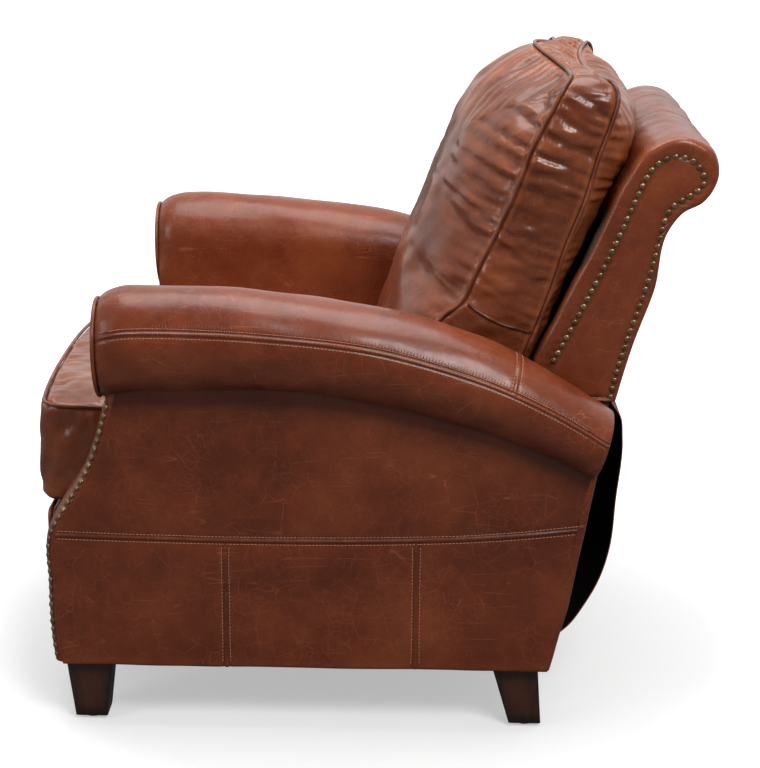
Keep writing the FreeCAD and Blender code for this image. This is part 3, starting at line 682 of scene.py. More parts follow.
REAR_EDGE = [(.274, .100), (.304, .230), (.320, .325), (.338, .424), (.352, .505)]
PANEL_LOW_Z = 0.100
PANEL_SEAM = [(-.4610, .3060), (-.2040, .3020), (.0690, .3060), (.2000, .3140), (.3200, .3270)]
PANEL_UPRIGHTS = (-.204, .0755)
PANEL_ENDS = (-0.459, 0.338)    # the panel grid's first and last column
PANEL_SEAM_ROW, PANEL_TOP_ROW = 0.306, 0.545


def roll_frame():
    """Top and bottom lines of the roll, matched point by point, with extra rings at the seam."""
    top, bottom = smooth_line(ROLL_TOP, 400), smooth_line(ROLL_BOTTOM, 400)
    share = np.interp(CROSS_SEAM_Y, (top[:, 0] + bottom[:, 0]) / 2, np.linspace(0, 1, 400))
    length = arc_lengths(top)[-1]
    offsets = np.array([-6, -4, -2.6, -1.2, 0, 1.2, 2.6, 4, 6]) * MM / length
    shares = ticks(0.0, 1.0, 6.2 * MM / length, fine=(share,), offsets=offsets)
    return resample(top, shares=shares), resample(bottom, shares=shares), shares * length, share * length


def seam_profile(d):
    """Height of a topstitched seam's ridge and its two grooves, d from its middle."""
    ridge = 1.5 * bell(d, 2.0 * MM)
    grooves = 1.2 * bell(np.abs(d) - SEAM_GROOVE, 1.5 * MM)
    return (ridge - grooves) * MM


def roll_rings(side):
    """Rings of the roll, with the arm's seat side hanging from it as one leather."""
    top, bottom, along, cross = roll_frame()
    seam = math.radians(SEAM_ANGLE)
    offsets = np.array([-9, -6.4, -5, -4, -2.6, -1.2, 0, 1.2, 2.6, 4, 5, 6.4, 9]) * MM / ROLL_RADIUS
    angles = ticks(math.radians(-130), math.pi, 6.4 * MM / ROLL_RADIUS, fine=(seam,), offsets=offsets)
    rings, seam_line, cross_line = [], [], []
    for i in range(len(top)):
        middle, half = (top[i] + bottom[i]) / 2, (top[i] - bottom[i]) / 2
        reach = min(1.0, along[i] / ROLL_TAPER)
        width = ROLL_HALF_WIDTH - 0.012 * (1 - reach) ** 2
        width -= 0.006 * smooth_step((along[i] - 0.62) / 0.16)
        lift = seam_profile((angles - seam) * ROLL_RADIUS) * smooth_step(along[i] / 0.02)
        over = (angles > seam) & (angles < math.radians(176))
        lift = lift + 0.6 * seam_profile(np.full_like(angles, along[i] - cross)) * over
        pleat = 0.9 * MM * np.exp(-along[i] / 0.022) * beat(angles * ROLL_RADIUS, 0.016, 5)
        grow = 1 + (lift + pleat) / ROLL_RADIUS
        x = ROLL_X + width * np.cos(angles) * grow
        up = np.sin(angles) * grow
        y, z = middle[0] + half[0] * up, middle[1] + half[1] * up
        down = -half / np.linalg.norm(half)
        drop = max((middle[1] - INNER_LOW_Z) / -down[1], 0.02)
        depths = np.linspace(0, 1, 26)[1:] * drop
        inner = lerp(ROLL_X - width, INNER_X, smooth_step(depths / 0.05))
        back_depths = np.array([1.0, 0.6, 0.3]) * drop
        back_depths[2] = max(0.055, 0.3 * drop)
        x = np.concatenate([x, inner, np.full(3, INNER_X + 0.020)])
        y = np.concatenate([y, middle[0] + down[0] * depths, middle[0] + down[0] * back_depths])
        z = np.concatenate([z, middle[1] + down[1] * depths, middle[1] + down[1] * back_depths])
        rings.append(np.stack([x, y, z], axis=1))
        spot = np.argmin(np.abs(angles - seam))
        seam_line.append(rings[-1][spot])
        if abs(along[i] - cross) < 1e-5:
            cross_line = rings[-1][spot:len(angles)]
    return mirrored(rings, side), mirrored(seam_line, side), mirrored(cross_line, side), len(angles)


def arm_leather(name, side):
    """Roll and seat side of one arm."""
    rings, seam_line, cross_line, around = roll_rings(side)
    first, last = rings[0], rings[-1]
    nose, tail = [], []
    for share in (0.6, 0.25):
        nose.append(lerp(first, first.mean(axis=0), 0.10 * (1 - share)) + [0, 0.004 * (1 - share), 0])
    for share, back in ((0.35, 0.004), (1.0, 0.006)):
        tail.append(lerp(last, last[:around].mean(axis=0), 0.09 * share) + [0, back, -0.2 * back])
    verts, faces = loft(np.concatenate([nose[::-1], rings, tail]))
    obj = piece(name, verts, faces, LEATHER["body"])
    refine(obj, 1)
    co = coordinates(obj)
    top_z = height_of(smooth_line(ROLL_TOP, 200), co[:, 1])
    free = smooth_step((co[:, 1] + 0.388) / 0.03) * smooth_step((0.35 - co[:, 1]) / 0.04)
    shape = 0.9 * ripple(co, 0.16, 11) + 0.45 * ripple(co, 0.055, 12, (1, 1.6, 1))
    inward = np.clip(co[:, 0] * side - INNER_X, 0, 0.02) / 0.02
    push(obj, MM * shape * free * (0.35 + 0.65 * inward))
    # painted sheen: the top of the roll is lighter where it faces up
    up = np.clip(vertex_normals(obj)[:, 2], 0, 1)
    wear_and_painted_light = 0.12 * smooth_step((co[:, 2] - top_z + 0.05) / 0.05) * up
    d_front = np.abs(co[:, 1] + 0.378)
    wear_and_painted_light += 0.45 * np.exp(-d_front / 0.006)
    d_seam, d_cross = nearest_on(seam_line, co)[0], nearest_on(cross_line, co)[0]
    wear_and_painted_light += 0.5 * bell(d_seam, 2.2 * MM) + 0.3 * bell(d_cross, 2.2 * MM)
    set_attribute(obj, "wear_and_painted_light", wear_and_painted_light)
    # painted shade: darker in the seam grooves, towards the front of the roll and under the roll's outer
    # half
    d = np.minimum(np.abs(d_seam - SEAM_GROOVE), np.abs(d_cross - SEAM_GROOVE))
    painted_shade = 0.50 * np.exp(-np.clip(co[:, 1] + 0.380, 0, 1) / 0.040)
    low = smooth_step((height_of(smooth_line(ROLL_BOTTOM, 200), co[:, 1]) + 0.040 - co[:, 2]) / 0.05)
    painted_shade = painted_shade + 0.45 * low * (co[:, 0] * side > ROLL_X)
    # stain here only makes the painted shade stronger or weaker patch by patch
    stain = 0.5 + 0.5 * np.clip(ripple(co, 0.05, 13), -1, 1)
    painted_shade_and_dark_rim = 0.35 * bell(d, 1.6 * MM) + painted_shade * (0.6 + 0.4 * stain)
    set_attribute(obj, "painted_shade_and_dark_rim", np.clip(painted_shade_and_dark_rim, 0, 1))
    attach(obj, "base")
    return obj, seam_line, cross_line, first[:around]


def arm_seams(key, side, obj, seam_line, cross_line):
    """Thread rows, and the gathers above the roll's long seam."""
    tree = surface_of(obj)
    seam_line = seam_line[4:-5]
    around = np.array([0.0, 1.0, 0.0])
    up = np.zeros_like(seam_line)
    a = math.radians(SEAM_ANGLE)
    up[:, 0], up[:, 2] = -math.sin(a) * side, math.cos(a)
    rows = stitch_row(tree, seam_line + up * 6.4 * MM, pitch=3.6 * MM, length=2.7 * MM, seed=21)
    rows += stitch_row(tree, seam_line - up * 6.4 * MM, seed=22)
    for shift, seed in ((5.4 * MM, 23), (-5.4 * MM, 24)):
        rows += stitch_row(tree, cross_line[3:] + around * shift, seed=seed)
    verts, faces = merged(rows)
    thread = piece(key + "_arm_thread", verts, faces, MATERIALS["thread"], outward=False)
    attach(thread, "base")
    gathers = stitch_row(
        tree, seam_line[10:] + up[10:] * 10.5 * MM, pitch=4.6 * MM, length=6.5 * MM, radius=0.95 * MM,
        crosswise=True, lift=-0.3 * MM, flat=0.9, seed=25,
    )
    verts, faces = merged(gathers)
    folds = piece(key + "_arm_gathers", verts, faces, LEATHER["body"], outward=False)
    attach(folds, "base")


def arm_cap(key, side, edge):
    """Domed panel that closes the front of the roll, and the piping round it."""
    middle = np.array([ROLL_X * side, edge[:, 1].mean(), 0.5 * (edge[:, 2].max() + edge[:, 2].min())])
    angle = np.linspace(0, 2 * math.pi, 72, endpoint=False)
    half_z = 0.5 * (edge[:, 2].max() - edge[:, 2].min())
    half_x = 0.5 * (edge[:, 0].max() - edge[:, 0].min())
    tilt = (edge[np.argmax(edge[:, 2]), 1] - edge[0, 1]) / (2 * half_z)
    loop = np.stack([
        middle[0] + half_x * np.cos(angle),
        middle[1] + tilt * half_z * np.sin(angle) - 0.0015,
        middle[2] + half_z * np.sin(angle),
    ], axis=1)
    inner = [lerp(loop, middle, 0.03) + [0, 0.012, 0], lerp(loop, middle, 0.02) + [0, 0.004, 0]]
    for share in (0.05, 0.12, 0.22, 0.34, 0.47, 0.60, 0.74, 0.88, 0.97):
        bulge = 0.0085 * (1 - (1 - share) ** 2.4)
        inner.append(lerp(loop, middle, share) - [0, bulge, 0])
    verts, faces = loft(inner)
    cap = piece(key + "_arm_cap", verts, faces, LEATHER["body"])
    refine(cap, 1)
    push(cap, 0.35 * MM * ripple(coordinates(cap), 0.05, 31))
    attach(cap, "base")
    verts, faces = tube(smooth_line(loop, 150, closed=True) - [0, 0.0005, 0], 2.9 * MM, 10, closed=True)
    piping = piece(key + "_arm_cap_welt", verts, faces, LEATHER["piping"])
    set_attribute(piping, "wear_and_painted_light", np.full(len(piping.data.vertices), 0.25))
    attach(piping, "base")


def side_panel(name, side):
    """Outside of one arm: an upper panel over three lower ones."""
    facing, rear = smooth_line(FACING_CURVE, 300), smooth_line(REAR_EDGE, 200)
    seam, under_roll = smooth_line(PANEL_SEAM, 300), smooth_line(ROLL_BOTTOM, 200)
    left, right = PANEL_UPRIGHTS
    fine = np.array([-7, -4.8, -3.6, -2.4, -1.2, 0, 1.2, 2.4, 3.6, 4.8, 7]) * MM
    low, high = PANEL_ENDS
    columns = ticks(low, high, 10 * MM, fine=PANEL_UPRIGHTS, offsets=fine)
    edge = np.array([0, 1.5, 3.5, 6.0, 9.0]) * MM
    columns = np.unique(np.round(np.concatenate([columns[5:-5], low + edge, high - edge]), 6))
    below = ticks(PANEL_LOW_Z, PANEL_SEAM_ROW, 10 * MM, fine=(PANEL_SEAM_ROW,), offsets=fine)
    above = ticks(PANEL_SEAM_ROW, PANEL_TOP_ROW, 10 * MM, fine=(PANEL_SEAM_ROW,), offsets=fine)
    rows = np.unique(np.round(np.concatenate([below, above, PANEL_LOW_Z + edge]), 6))
    grid = np.zeros((len(rows), len(columns), 3))
    for i, level in enumerate(rows):
        for k, place in enumerate(columns):
            z = level
            for _ in range(3):
                start = np.interp(z, facing[:, 1], facing[:, 0]) + 0.011
                end = np.interp(z, rear[:, 1], rear[:, 0]) - 0.002
                if place < left:
                    y = lerp(start, left, (place - low) / (left - low))
                elif place <= right:
                    y = place
                else:
                    y = lerp(right, end, (place - right) / (high - right))
                line_z = height_of(seam, y)
                if level <= PANEL_SEAM_ROW:
                    z = lerp(PANEL_LOW_Z, line_z, (level - PANEL_LOW_Z) / (PANEL_SEAM_ROW - PANEL_LOW_Z))
                else:
                    share = (level - PANEL_SEAM_ROW) / (PANEL_TOP_ROW - PANEL_SEAM_ROW)
                    z = lerp(line_z, height_of(under_roll, y) + 0.034, share)
            grid[i, k] = (PANEL_X, y, z)
    y, z = grid[..., 1], grid[..., 2]
    d_seam = z - height_of(seam, y)
    lift = seam_profile(d_seam) * 0.9
    shut = smooth_step(-d_seam / 0.004)
    for upright in PANEL_UPRIGHTS:
        lift = lift + seam_profile(y - upright) * shut * 0.9
    ends = np.minimum(columns - low, high - columns)[None, :]
    rise = np.minimum(rows - PANEL_LOW_Z, 0.05)[:, None]
    border = np.minimum(ends, rise)
    lift = lift - 0.004 * (1 - np.sqrt(np.clip(1 - (1 - np.clip(border / 0.007, 0, 1)) ** 2, 0, 1)))
    fullness = smooth_step(ends / 0.10) * smooth_step(rise / 0.05)
    lift = lift + 0.0028 * fullness * (0.4 + 0.6 * smooth_step(np.abs(d_seam) / 0.04))
    grid[..., 0] += lift
    back = grid.copy()
    back[..., 0] = PANEL_X - 0.014
    verts, faces = slab(grid, back)
    obj = piece(name, mirrored(verts, side), faces, LEATHER["body"])
    refine(obj, 1)
    co = coordinates(obj)
    face = smooth_step((co[:, 0] * side - 0.386) / 0.004)
    swell = 0.7 * ripple(co, 0.19, 41, (1, 1.3, 1)) + 0.35 * ripple(co, 0.06, 42, (1, 1.8, 1))
    push(obj, MM * swell * face)
    seam_3d = np.column_stack([np.full(300, PANEL_X * side), seam])
    uprights = []
    for upright in PANEL_UPRIGHTS:
        heights = np.linspace(PANEL_LOW_Z + 0.004, height_of(seam, upright) - 0.004, 60)
        uprights.append(np.column_stack([np.full(60, PANEL_X * side), np.full(60, upright), heights]))
    d = np.min([np.abs(nearest_on(line, co)[0] - SEAM_GROOVE) for line in [seam_3d] + uprights], axis=0)
    # painted shadow under the roll, fading down the panel, and painted shade towards the front and in the
    # seam grooves
    depth = np.clip(height_of(under_roll, co[:, 1]) - co[:, 2], 0, 1)
    painted_shade = 0.80 * np.exp(-depth / 0.018) + 0.20 * np.exp(-depth / 0.060)
    painted_shade += 0.10 * smooth_step((-0.38 - co[:, 1]) / 0.05)
    painted_shade_and_dark_rim = 0.35 * bell(d, 1.5 * MM) + painted_shade
    set_attribute(obj, "painted_shade_and_dark_rim", np.clip(painted_shade_and_dark_rim, 0, 1))
    wear_and_painted_light = 0.35 * np.exp(-np.maximum(co[:, 2] - PANEL_LOW_Z, 0) / 0.006)
    wear_and_painted_light += 0.4 * np.exp(-np.abs(co[:, 1] - np.interp(co[:, 2], facing[:, 1], facing[:, 0])) / 0.006)
    set_attribute(obj, "wear_and_painted_light", wear_and_painted_light)
    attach(obj, "base")
    return obj, seam_3d, uprights


def panel_seams(key, obj, seam, uprights):
    """Tan thread beside the seams of the side panels."""
    tree = surface_of(obj)
    rows = []
    for k, shift in enumerate((-6.0 * MM, 6.0 * MM)):
        rows += stitch_row(tree, seam[3:-3] + [0, 0, shift], seed=51 + k)
        for n, line in enumerate(uprights):
            rows += stitch_row(tree, line[1:-1] + [0, shift, 0], seed=55 + 2 * n + k)
    verts, faces = merged(rows)
    thread = piece(key + "_side_thread", verts, faces, MATERIALS["thread"], outward=False)
    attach(thread, "base")


FACING_X = (0.281, 0.3915)
FACING_NAIL_TOP = 0.507
FACING_ROUND = 0.013            # radius of the strip's padded edges
NAIL_TILT = math.radians(42)    # of the facing nails, from the front towards the side


def facing_frame(count):
    """Points of the facing curve, their outward directions in the (y, z) plane, and lengths."""
    line = smooth_line(FACING_CURVE, count)
    ahead = headings(line)
    out = np.column_stack([-ahead[:, 1], ahead[:, 0]])
    out[out[:, 0] > 0] *= -1
    return line, out, arc_lengths(line)


def arm_front(key, side):
    """Padded strip down the front of the arm, rounded off at its two nailed edges."""
    line, out, s = facing_frame(160)
    middle, half = 0.5 * sum(FACING_X), 0.5 * (FACING_X[1] - FACING_X[0])
    flat = half - FACING_ROUND
    section = [(flat * t, 0.0030 * (1 - abs(t) ** 3), 0.0) for t in np.linspace(-1, 1, 21)]
    turn = np.linspace(0, math.pi / 2, 8)[1:]
    right = [
        (flat + FACING_ROUND * math.sin(a), FACING_ROUND * (math.cos(a) - 1), math.sin(2 * a)) for a in turn
    ]
    left = [(-x, depth, pull) for x, depth, pull in reversed(right)]
    front, back = [], []
    pucker = np.cos(2 * math.pi * s / NAIL_PITCH)
    for x, depth, pull in left + section + right:
        lift = depth - 0.0009 * pull * (1 + 0.5 * pucker)
        front.append(at_x(middle + x, line + out * lift[:, None]))
        back.append(at_x(middle + x * 0.93, line - out * (FACING_ROUND + 0.002)))
    verts, faces = slab(front, back)
    obj = piece(key + "_arm_front", mirrored(verts, side), faces, LEATHER["body"])
    refine(obj, 1)
    co = coordinates(obj)
    push(obj, 0.3 * MM * ripple(co, 0.06, 61))
    edge = np.abs(np.abs(co[:, 0]) - middle)
    set_attribute(obj, "wear_and_painted_light", 0.4 * bell(edge - flat + 0.002, 0.004))
    # painted shade along the nail rows on the rounded edges
    set_attribute(obj, "painted_shade_and_dark_rim", 0.4 * bell(edge - half + 0.0045, 0.003))
    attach(obj, "base")
    return obj


def facing_nail_places():
    """Nails down both rounded edges of both facing strips."""
    line, out, s = facing_frame(400)
    count = int(s[-1] / NAIL_PITCH)
    spots = []
    for at in np.linspace(0, s[-1], count)[1:-1]:
        k = int(np.argmin(np.abs(s - at)))
        if line[k, 1] > FACING_NAIL_TOP:
            continue
        for side in SIDES.values():
            for x, sign in ((FACING_X[1], 1.0), (FACING_X[0], -1.0)):
                centre = np.array([x - sign * FACING_ROUND, *(line[k] - out[k] * FACING_ROUND)])
                direction = np.array([sign * math.sin(NAIL_TILT), *(out[k] * math.cos(NAIL_TILT))])
                foot = centre + direction * (FACING_ROUND - 0.7 * MM)
                spots.append((mirrored(foot, side), mirrored(direction, side)))
    return spots


def inner_flare(key, side):
    """Seat side of the arm ahead of the roll, down to the flared front."""
    line = smooth_line(FACING_CURVE, 120)
    line = line[line[:, 1] > INNER_LOW_Z]
    front, back = [], []
    for z in np.linspace(INNER_LOW_Z, 0.500, 32):
        start = np.interp(z, line[:, 1], line[:, 0]) + 0.012
        y = np.linspace(start, -0.372, 16)
        front.append(np.column_stack([np.full(16, INNER_X), y, np.full(16, z)]))
        back.append(np.column_stack([np.full(16, INNER_X + 0.018), y, np.full(16, z)]))
    verts, faces = slab(front, back)
    obj = piece(key + "_arm_inner_flare", mirrored(verts, side), faces, LEATHER["body"])
    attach(obj, "base")


WRAP_X = (0.2775, 0.3925)
WRAP_TOP_Z = 0.452


def rear_wrap(key, side):
    """Leather round the back edge of the arm."""
    line = smooth_line(REAR_EDGE, 80)
    line = line[line[:, 1] < WRAP_TOP_Z]
    low, high = WRAP_X
    x = np.concatenate([[low, 0.2790, 0.2825], np.linspace(0.288, 0.380, 14), [0.3865, 0.3905, high]])
    ahead = headings(line)
    out = np.column_stack([ahead[:, 1], -ahead[:, 0]])
    front, back = [], []
    for place in x:
        border = min(place - low, high - place)
        fall = 0.0055 * (1 - math.sqrt(max(0.0, 1 - (1 - min(1.0, border / 0.009)) ** 2)))
        puff = 0.0022 * smooth_step(border / 0.05)
        column = line + out * (0.0005 + puff - fall)
        front.append(at_x(place, column))
        back.append(at_x(place, line - out * 0.012))
    verts, faces = slab(front, back)
    obj = piece(key + "_arm_rear", mirrored(verts, side), faces, LEATHER["body"])
    refine(obj, 1)
    push(obj, 0.4 * MM * ripple(coordinates(obj), 0.09, 71))
    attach(obj, "base")


def arms():
    """Both arms, piece by piece."""
    for key, side in SIDES.items():
        roll, seam_line, cross_line, nose = arm_leather(key + "_arm_leather", side)
        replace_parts(roll, key + "_arm_roll", key + "_inner_arm_pad")
        arm_seams(key, side, roll, seam_line, cross_line)
        arm_cap(key, side, nose)
        panel, seam, uprights = side_panel(key + "_side_leather", side)
        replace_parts(panel, key + "_side_cover")
        panel_seams(key, panel, seam, uprights)
        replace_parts(arm_front(key, side), key + "_arm_facing")
        inner_flare(key, side)
        rear_wrap(key, side)


# ---- nails --------------------------------------------------------------------
NAIL_SIDES = 14
# radius and height of each ring of a head, in millimetres
NAIL_HEAD = [(5.0, 0.0), (4.9, 0.55), (4.3, 1.15), (3.2, 1.65), (1.7, 1.95), (0.5, 2.05)]


def loose_parts(obj):
    """Vertex positions of each separate shell in a mesh."""
    mesh = obj.data
    parent = list(range(len(mesh.vertices)))

    def root(i):
        while parent[i] != i:
            parent[i] = parent[parent[i]]
            i = parent[i]
        return i

    co = coordinates(obj)
    keys = {}
    for i, p in enumerate(np.round(co, 6).tolist()):
        other = keys.setdefault(tuple(p), i)
        parent[root(i)] = root(other)
    for edge in mesh.edges:
        parent[root(edge.vertices[0])] = root(edge.vertices[1])
    groups = {}
    for i in range(len(co)):
        groups.setdefault(root(i), []).append(i)
    return [co[ids] for ids in groups.values()]


def nail_places(node):
    """Foot and outward direction of each nail head in a CAD node."""
    spots = []
    for points in loose_parts(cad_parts[node]):
        unique = np.unique(np.round(points, 6), axis=0)
        centre = unique.mean(axis=0)
        spread = np.cov((unique - centre).T)
        out = np.linalg.eigh(spread)[1][:, 0]
        heights = (unique - centre) @ out
        if heights.max() < -heights.min():
            out, heights = -out, -heights
        rim = unique[heights < heights.min() + 0.2 * MM]
        spots.append((rim.mean(axis=0), out))
    return spots


def nail_heads(name, node, body, places, seed):
    """Hammered domed heads, each a little turned and toned its own way."""
    rng = np.random.default_rng(seed)
    parts, tones, rims = [], [], []
    for foot, out in sorted(places, key=lambda s: tuple(np.round(s[0], 4))):
        out = unit(out + rng.normal(0, 0.05, 3))
        a = unit(np.cross(out, [0.3, 0.5, 0.8]))
        b = np.cross(out, a)
        angle = np.linspace(0, 2 * math.pi, NAIL_SIDES, endpoint=False) + rng.uniform(0, 1)
        size = 1 + rng.normal(0, 0.02)
        rings = []
        for radius, height in NAIL_HEAD:
            dent = 1 + 0.02 * rng.normal(size=NAIL_SIDES) * (radius > 1)
            circle = np.cos(angle)[:, None] * a + np.sin(angle)[:, None] * b
            rings.append(foot + out * (height - 0.15) * MM + circle * (radius * MM * size * dent)[:, None])
        parts.append(loft(rings))
        tones += [rng.uniform(0, 1)] * (NAIL_SIDES * len(NAIL_HEAD))
        rims += [1.0] * NAIL_SIDES + [0.55] * NAIL_SIDES + [0.0] * (NAIL_SIDES * (len(NAIL_HEAD) - 2))
    verts, faces = merged(parts)
    obj = piece(name, verts, faces, MATERIALS["brass"], outward=False)
    set_attribute(obj, "tone", tones)
    set_attribute(obj, "painted_shade_and_dark_rim", rims)
    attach(obj, body)
    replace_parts(obj, node)


# ---- back ---------------------------------------------------------------------
BACK_X = 0.270
# nail line and the edge outside it, matched point by point from the foot of the wing over the scroll
NAIL_LINE = [(.2480, .4920), (.2740, .5470), (.3040, .6070), (.3380, .6780), (.3705, .7530),
             (.3920, .8060), (.4120, .8400), (.4450, .8530), (.4740, .8380), (.4820, .8150),
             (.4620, .7960), (.4360, .7770), (.4250, .7450), (.4050, .6570), (.3790, .5730),
             (.3600, .4920)]
SHELL_EDGE = [(.2240, .4830), (.2490, .5550), (.2770, .6180), (.3080, .6850), (.3420, .7600),
              (.3700, .8200), (.4000, .8640), (.4480, .8820), (.4930, .8620), (.5035, .8260),
              (.4840, .7870), (.4540, .7700), (.4370, .7480), (.4180, .6550), (.3910, .5730),
              (.3680, .4840)]
SHELL_SECTION = [(0.2580, 0.00), (0.2640, 0.00), (0.2685, 0.07), (0.2715, 0.20), (0.2728, 0.38),
                 (0.2722, 0.60), (0.2708, 0.78), (0.2696, 0.92), (0.2693, 1.00)]
SCROLL_SEAMS = (0.020, -0.150)
RECESS = 0.012                  # depth of the hidden hollow that the cushion and flap sit in
RECESS_TOP_Z = 0.765


def shell_lines():
    """The nail line and the shell's edge with matching points, about four to a nail."""
    nails, edge = hermite(NAIL_LINE), hermite(SHELL_EDGE)
    s = arc_lengths(nails)
    count = 2 * int(s[-1] / (2 * NAIL_PITCH / 4)) + 1
    at = np.linspace(0, s[-1], count)
    matched = [np.stack([np.interp(at, s, line[:, k]) for k in (0, 1)], axis=1) for line in (nails, edge)]
    return matched[0], matched[1], at


def back_shell():
    """Upholstered back with its two padded wings and the scroll along the top, as one skin."""
    nails, edge, at = shell_lines()
    count, across = len(at), 9
    low_nails = np.linspace(nails[-1], nails[0], across + 1)[1:-1]
    low_edge = np.linspace(edge[-1], edge[0], across + 1)[1:-1]
    nail_loop, edge_loop = np.vstack([nails, low_nails]), np.vstack([edge, low_edge])
    n = len(nail_loop)
    middle_rung = count // 2
    puck = np.zeros(n)
    puck[:count] = np.cos(2 * math.pi * at / NAIL_PITCH)
    recess = np.zeros(n)
    recess[:middle_rung] = RECESS * smooth_step((RECESS_TOP_Z - nails[:middle_rung, 1]) / 0.06)
    recess[count:] = RECESS
    seams = np.array([-5, -2.5, -1.2, 0, 1.2, 2.5, 5]) * MM
    spans = ticks(-0.250, 0.250, 0.0125, fine=SCROLL_SEAMS, offsets=seams)
    spans = np.sort(np.concatenate([spans, [-0.2450, -0.2410, 0.2410, 0.2450]]))
    toward = unit(nail_loop - edge_loop)
    sections = []
    for x, share in SHELL_SECTION:
        layer = at_x(x, lerp(edge_loop, nail_loop, share))
        layer[:, 0] += 0.0008 * math.exp(-(((share - 0.80) / 0.12) ** 2)) * -puck
        sections.append(layer)
    rings, sunk = [mirrored(layer, -1.0) for layer in reversed(sections)], []
    for x in spans:
        hollow = smooth_step((0.2450 - abs(x)) / 0.004)
        sunk += [len(rings)] if hollow > 0.5 else []
        rings.append(at_x(x, edge_loop + toward * (recess * hollow)[:, None]))
    rings = np.array(rings + sections)
    rows = len(rings)
    verts = [rings.reshape(-1, 3)]
    faces = grid_faces(rows, n, closed_columns=True)
    start = rows * n
    for base, sign in ((0, -1.0), ((rows - 1) * n, 1.0)):
        previous = [base] + [base + n - 1 - k for k in range(across - 1)] + [base + count - 1]
        for rung in range(1, middle_rung):
            a, b = nail_loop[rung], nail_loop[count - 1 - rung]
            new, ids = [], [base + rung]
            for k in range(1, across):
                share = k / across
                place = lerp(a, b, share)
                width = np.linalg.norm(b - a)
                puff = 0.0020 * smooth_step(min(share, 1 - share) * width / 0.016)
                pinch = 0.0005 * puck[rung] * math.exp(-min(share, 1 - share) * width / 0.006)
                new.append((sign * (SHELL_SECTION[-1][0] + 0.0003 + puff - pinch), *place))
                ids.append(start + k - 1)
            ids.append(base + count - 1 - rung)
            verts.append(np.array(new))
            start += across - 1
            for k in range(across):
                faces.append((previous[k], previous[k + 1], ids[k + 1], ids[k]))
            previous = ids
        top = base + middle_rung
        for k in range(across):
            faces.append((previous[k], previous[k + 1], top))
    obj = piece("back_leather", np.vstack(verts), faces, LEATHER["body"])
    # the hollow behind the cushion gets the black lining: a dark sheet used as painted shade in that gap
    obj.data.materials.append(MATERIALS["lining"])
    lined = np.zeros(len(obj.data.vertices), bool)
    for row in sunk:
        lined[row * n:(row + 1) * n] = recess > RECESS / 2
    for polygon in obj.data.polygons:
        polygon.material_index = int(all(lined[i] for i in polygon.vertices))
    refine(obj, 1)
    co = coordinates(obj)
    d = np.min([nearest_on(at_x(x, nails), co)[0] for x in (BACK_X, -BACK_X)], axis=0)
    lift = 0.8 * ripple(co, 0.15, 81) + 0.35 * ripple(co, 0.05, 82)
    lift = lift * smooth_step((d - 0.006) / 0.03)
    seam = np.zeros(len(co))
    upper = smooth_step((co[:, 2] - 0.800) / 0.02)
    for place in SCROLL_SEAMS:
        seam += bell(co[:, 0] - place, 1.6 * MM) * upper
    push(obj, MM * (lift - 1.6 * seam))
    normals = vertex_normals(obj)
    corner = np.exp(-np.abs(np.abs(co[:, 0]) - 0.2675) / 0.004)
    # lighter at the wings' front corners, and painted sheen on up-facing parts
    set_attribute(obj, "wear_and_painted_light", 0.35 * corner + 0.15 * np.clip(normals[:, 2], 0, 1))
    # painted shade in the scroll's seam grooves and along the nail lines
    set_attribute(obj, "painted_shade_and_dark_rim", np.clip(0.75 * seam + 0.5 * bell(d, 0.0055), 0, 1))
    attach(obj, "back")
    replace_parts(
        obj, "left_back_side_cover", "right_back_side_cover", "back_outside_panel", "back_scroll"
    )


# ---- cushions -----------------------------------------------------------------
def rounded(u, v, ru, rv):
    """Moves points of the unit square so that its corners are round: u is -1..1 and v is 0..1."""
    a, sign = np.abs(u), np.sign(u)
    w, top = np.abs(2 * v - 1), np.sign(2 * v - 1)
    p, q = np.clip((a - (1 - ru)) / ru, 0, 1), np.clip((w - (1 - rv)) / rv, 0, 1)
    a = np.where(p > 0, 1 - ru + ru * (p * np.sqrt(1 - q * q / 2)), a)
    w = np.where(q > 0, 1 - rv + rv * (q * np.sqrt(1 - p * p / 2)), w)
    return sign * a, (top * w + 1) / 2


def boxed_cushion(name, face_a, face_b, cells, boxing, bulge, corner):
    """Closed cushion of two faces joined by a boxing strip; returns it with its two seams' vertices.

    face_a and face_b take arrays u (-1..1) and v (0..1) and give points.
    """
    nu, nv = cells
    u, v = np.meshgrid(np.linspace(-1, 1, nu), np.linspace(0, 1, nv))
    u, v = rounded(u, v, *corner)
    a, b = face_a(u, v).reshape(-1, 3), face_b(u, v).reshape(-1, 3)
    faces = grid_faces(nv, nu) + grid_faces(nv, nu, start=nu * nv)
    ids_a = grid_rim(nv, nu)
    ids_b = [nu * nv + i for i in ids_a]
    loop_a, loop_b = a[ids_a], b[ids_a]
    middle = 0.5 * (loop_a.mean(axis=0) + loop_b.mean(axis=0))
    across = unit(loop_b.mean(axis=0) - loop_a.mean(axis=0))
    verts, previous, start = [a, b], ids_a, 2 * nu * nv
    for k in range(1, boxing):
        share = k / boxing
        ring = lerp(loop_a, loop_b, share)
        out = ring - middle
        out = out - np.outer(out @ across, across)
        along = np.roll(ring, -1, axis=0) - np.roll(ring, 1, axis=0)
        side_out = unit(np.cross(along, across))
        side_out *= np.sign((side_out * out).sum(axis=1))[:, None]
        verts.append(ring + side_out * bulge * 4 * share * (1 - share))
        ids = list(range(start, start + len(ids_a)))
        faces += band(previous, ids)
        previous, start = ids, start + len(ids)
    faces += band(previous, ids_b)
    return piece(name, np.vstack(verts), faces, LEATHER["cushion"]), ids_a, ids_b


CLOTH = {
    "quality": 6, "mass": 0.35, "tension_stiffness": 18, "compression_stiffness": 18,
    "shear_stiffness": 10, "bending_stiffness": 0.6, "air_damping": 2, "use_pressure": True,
    "pin_stiffness": 1,
}


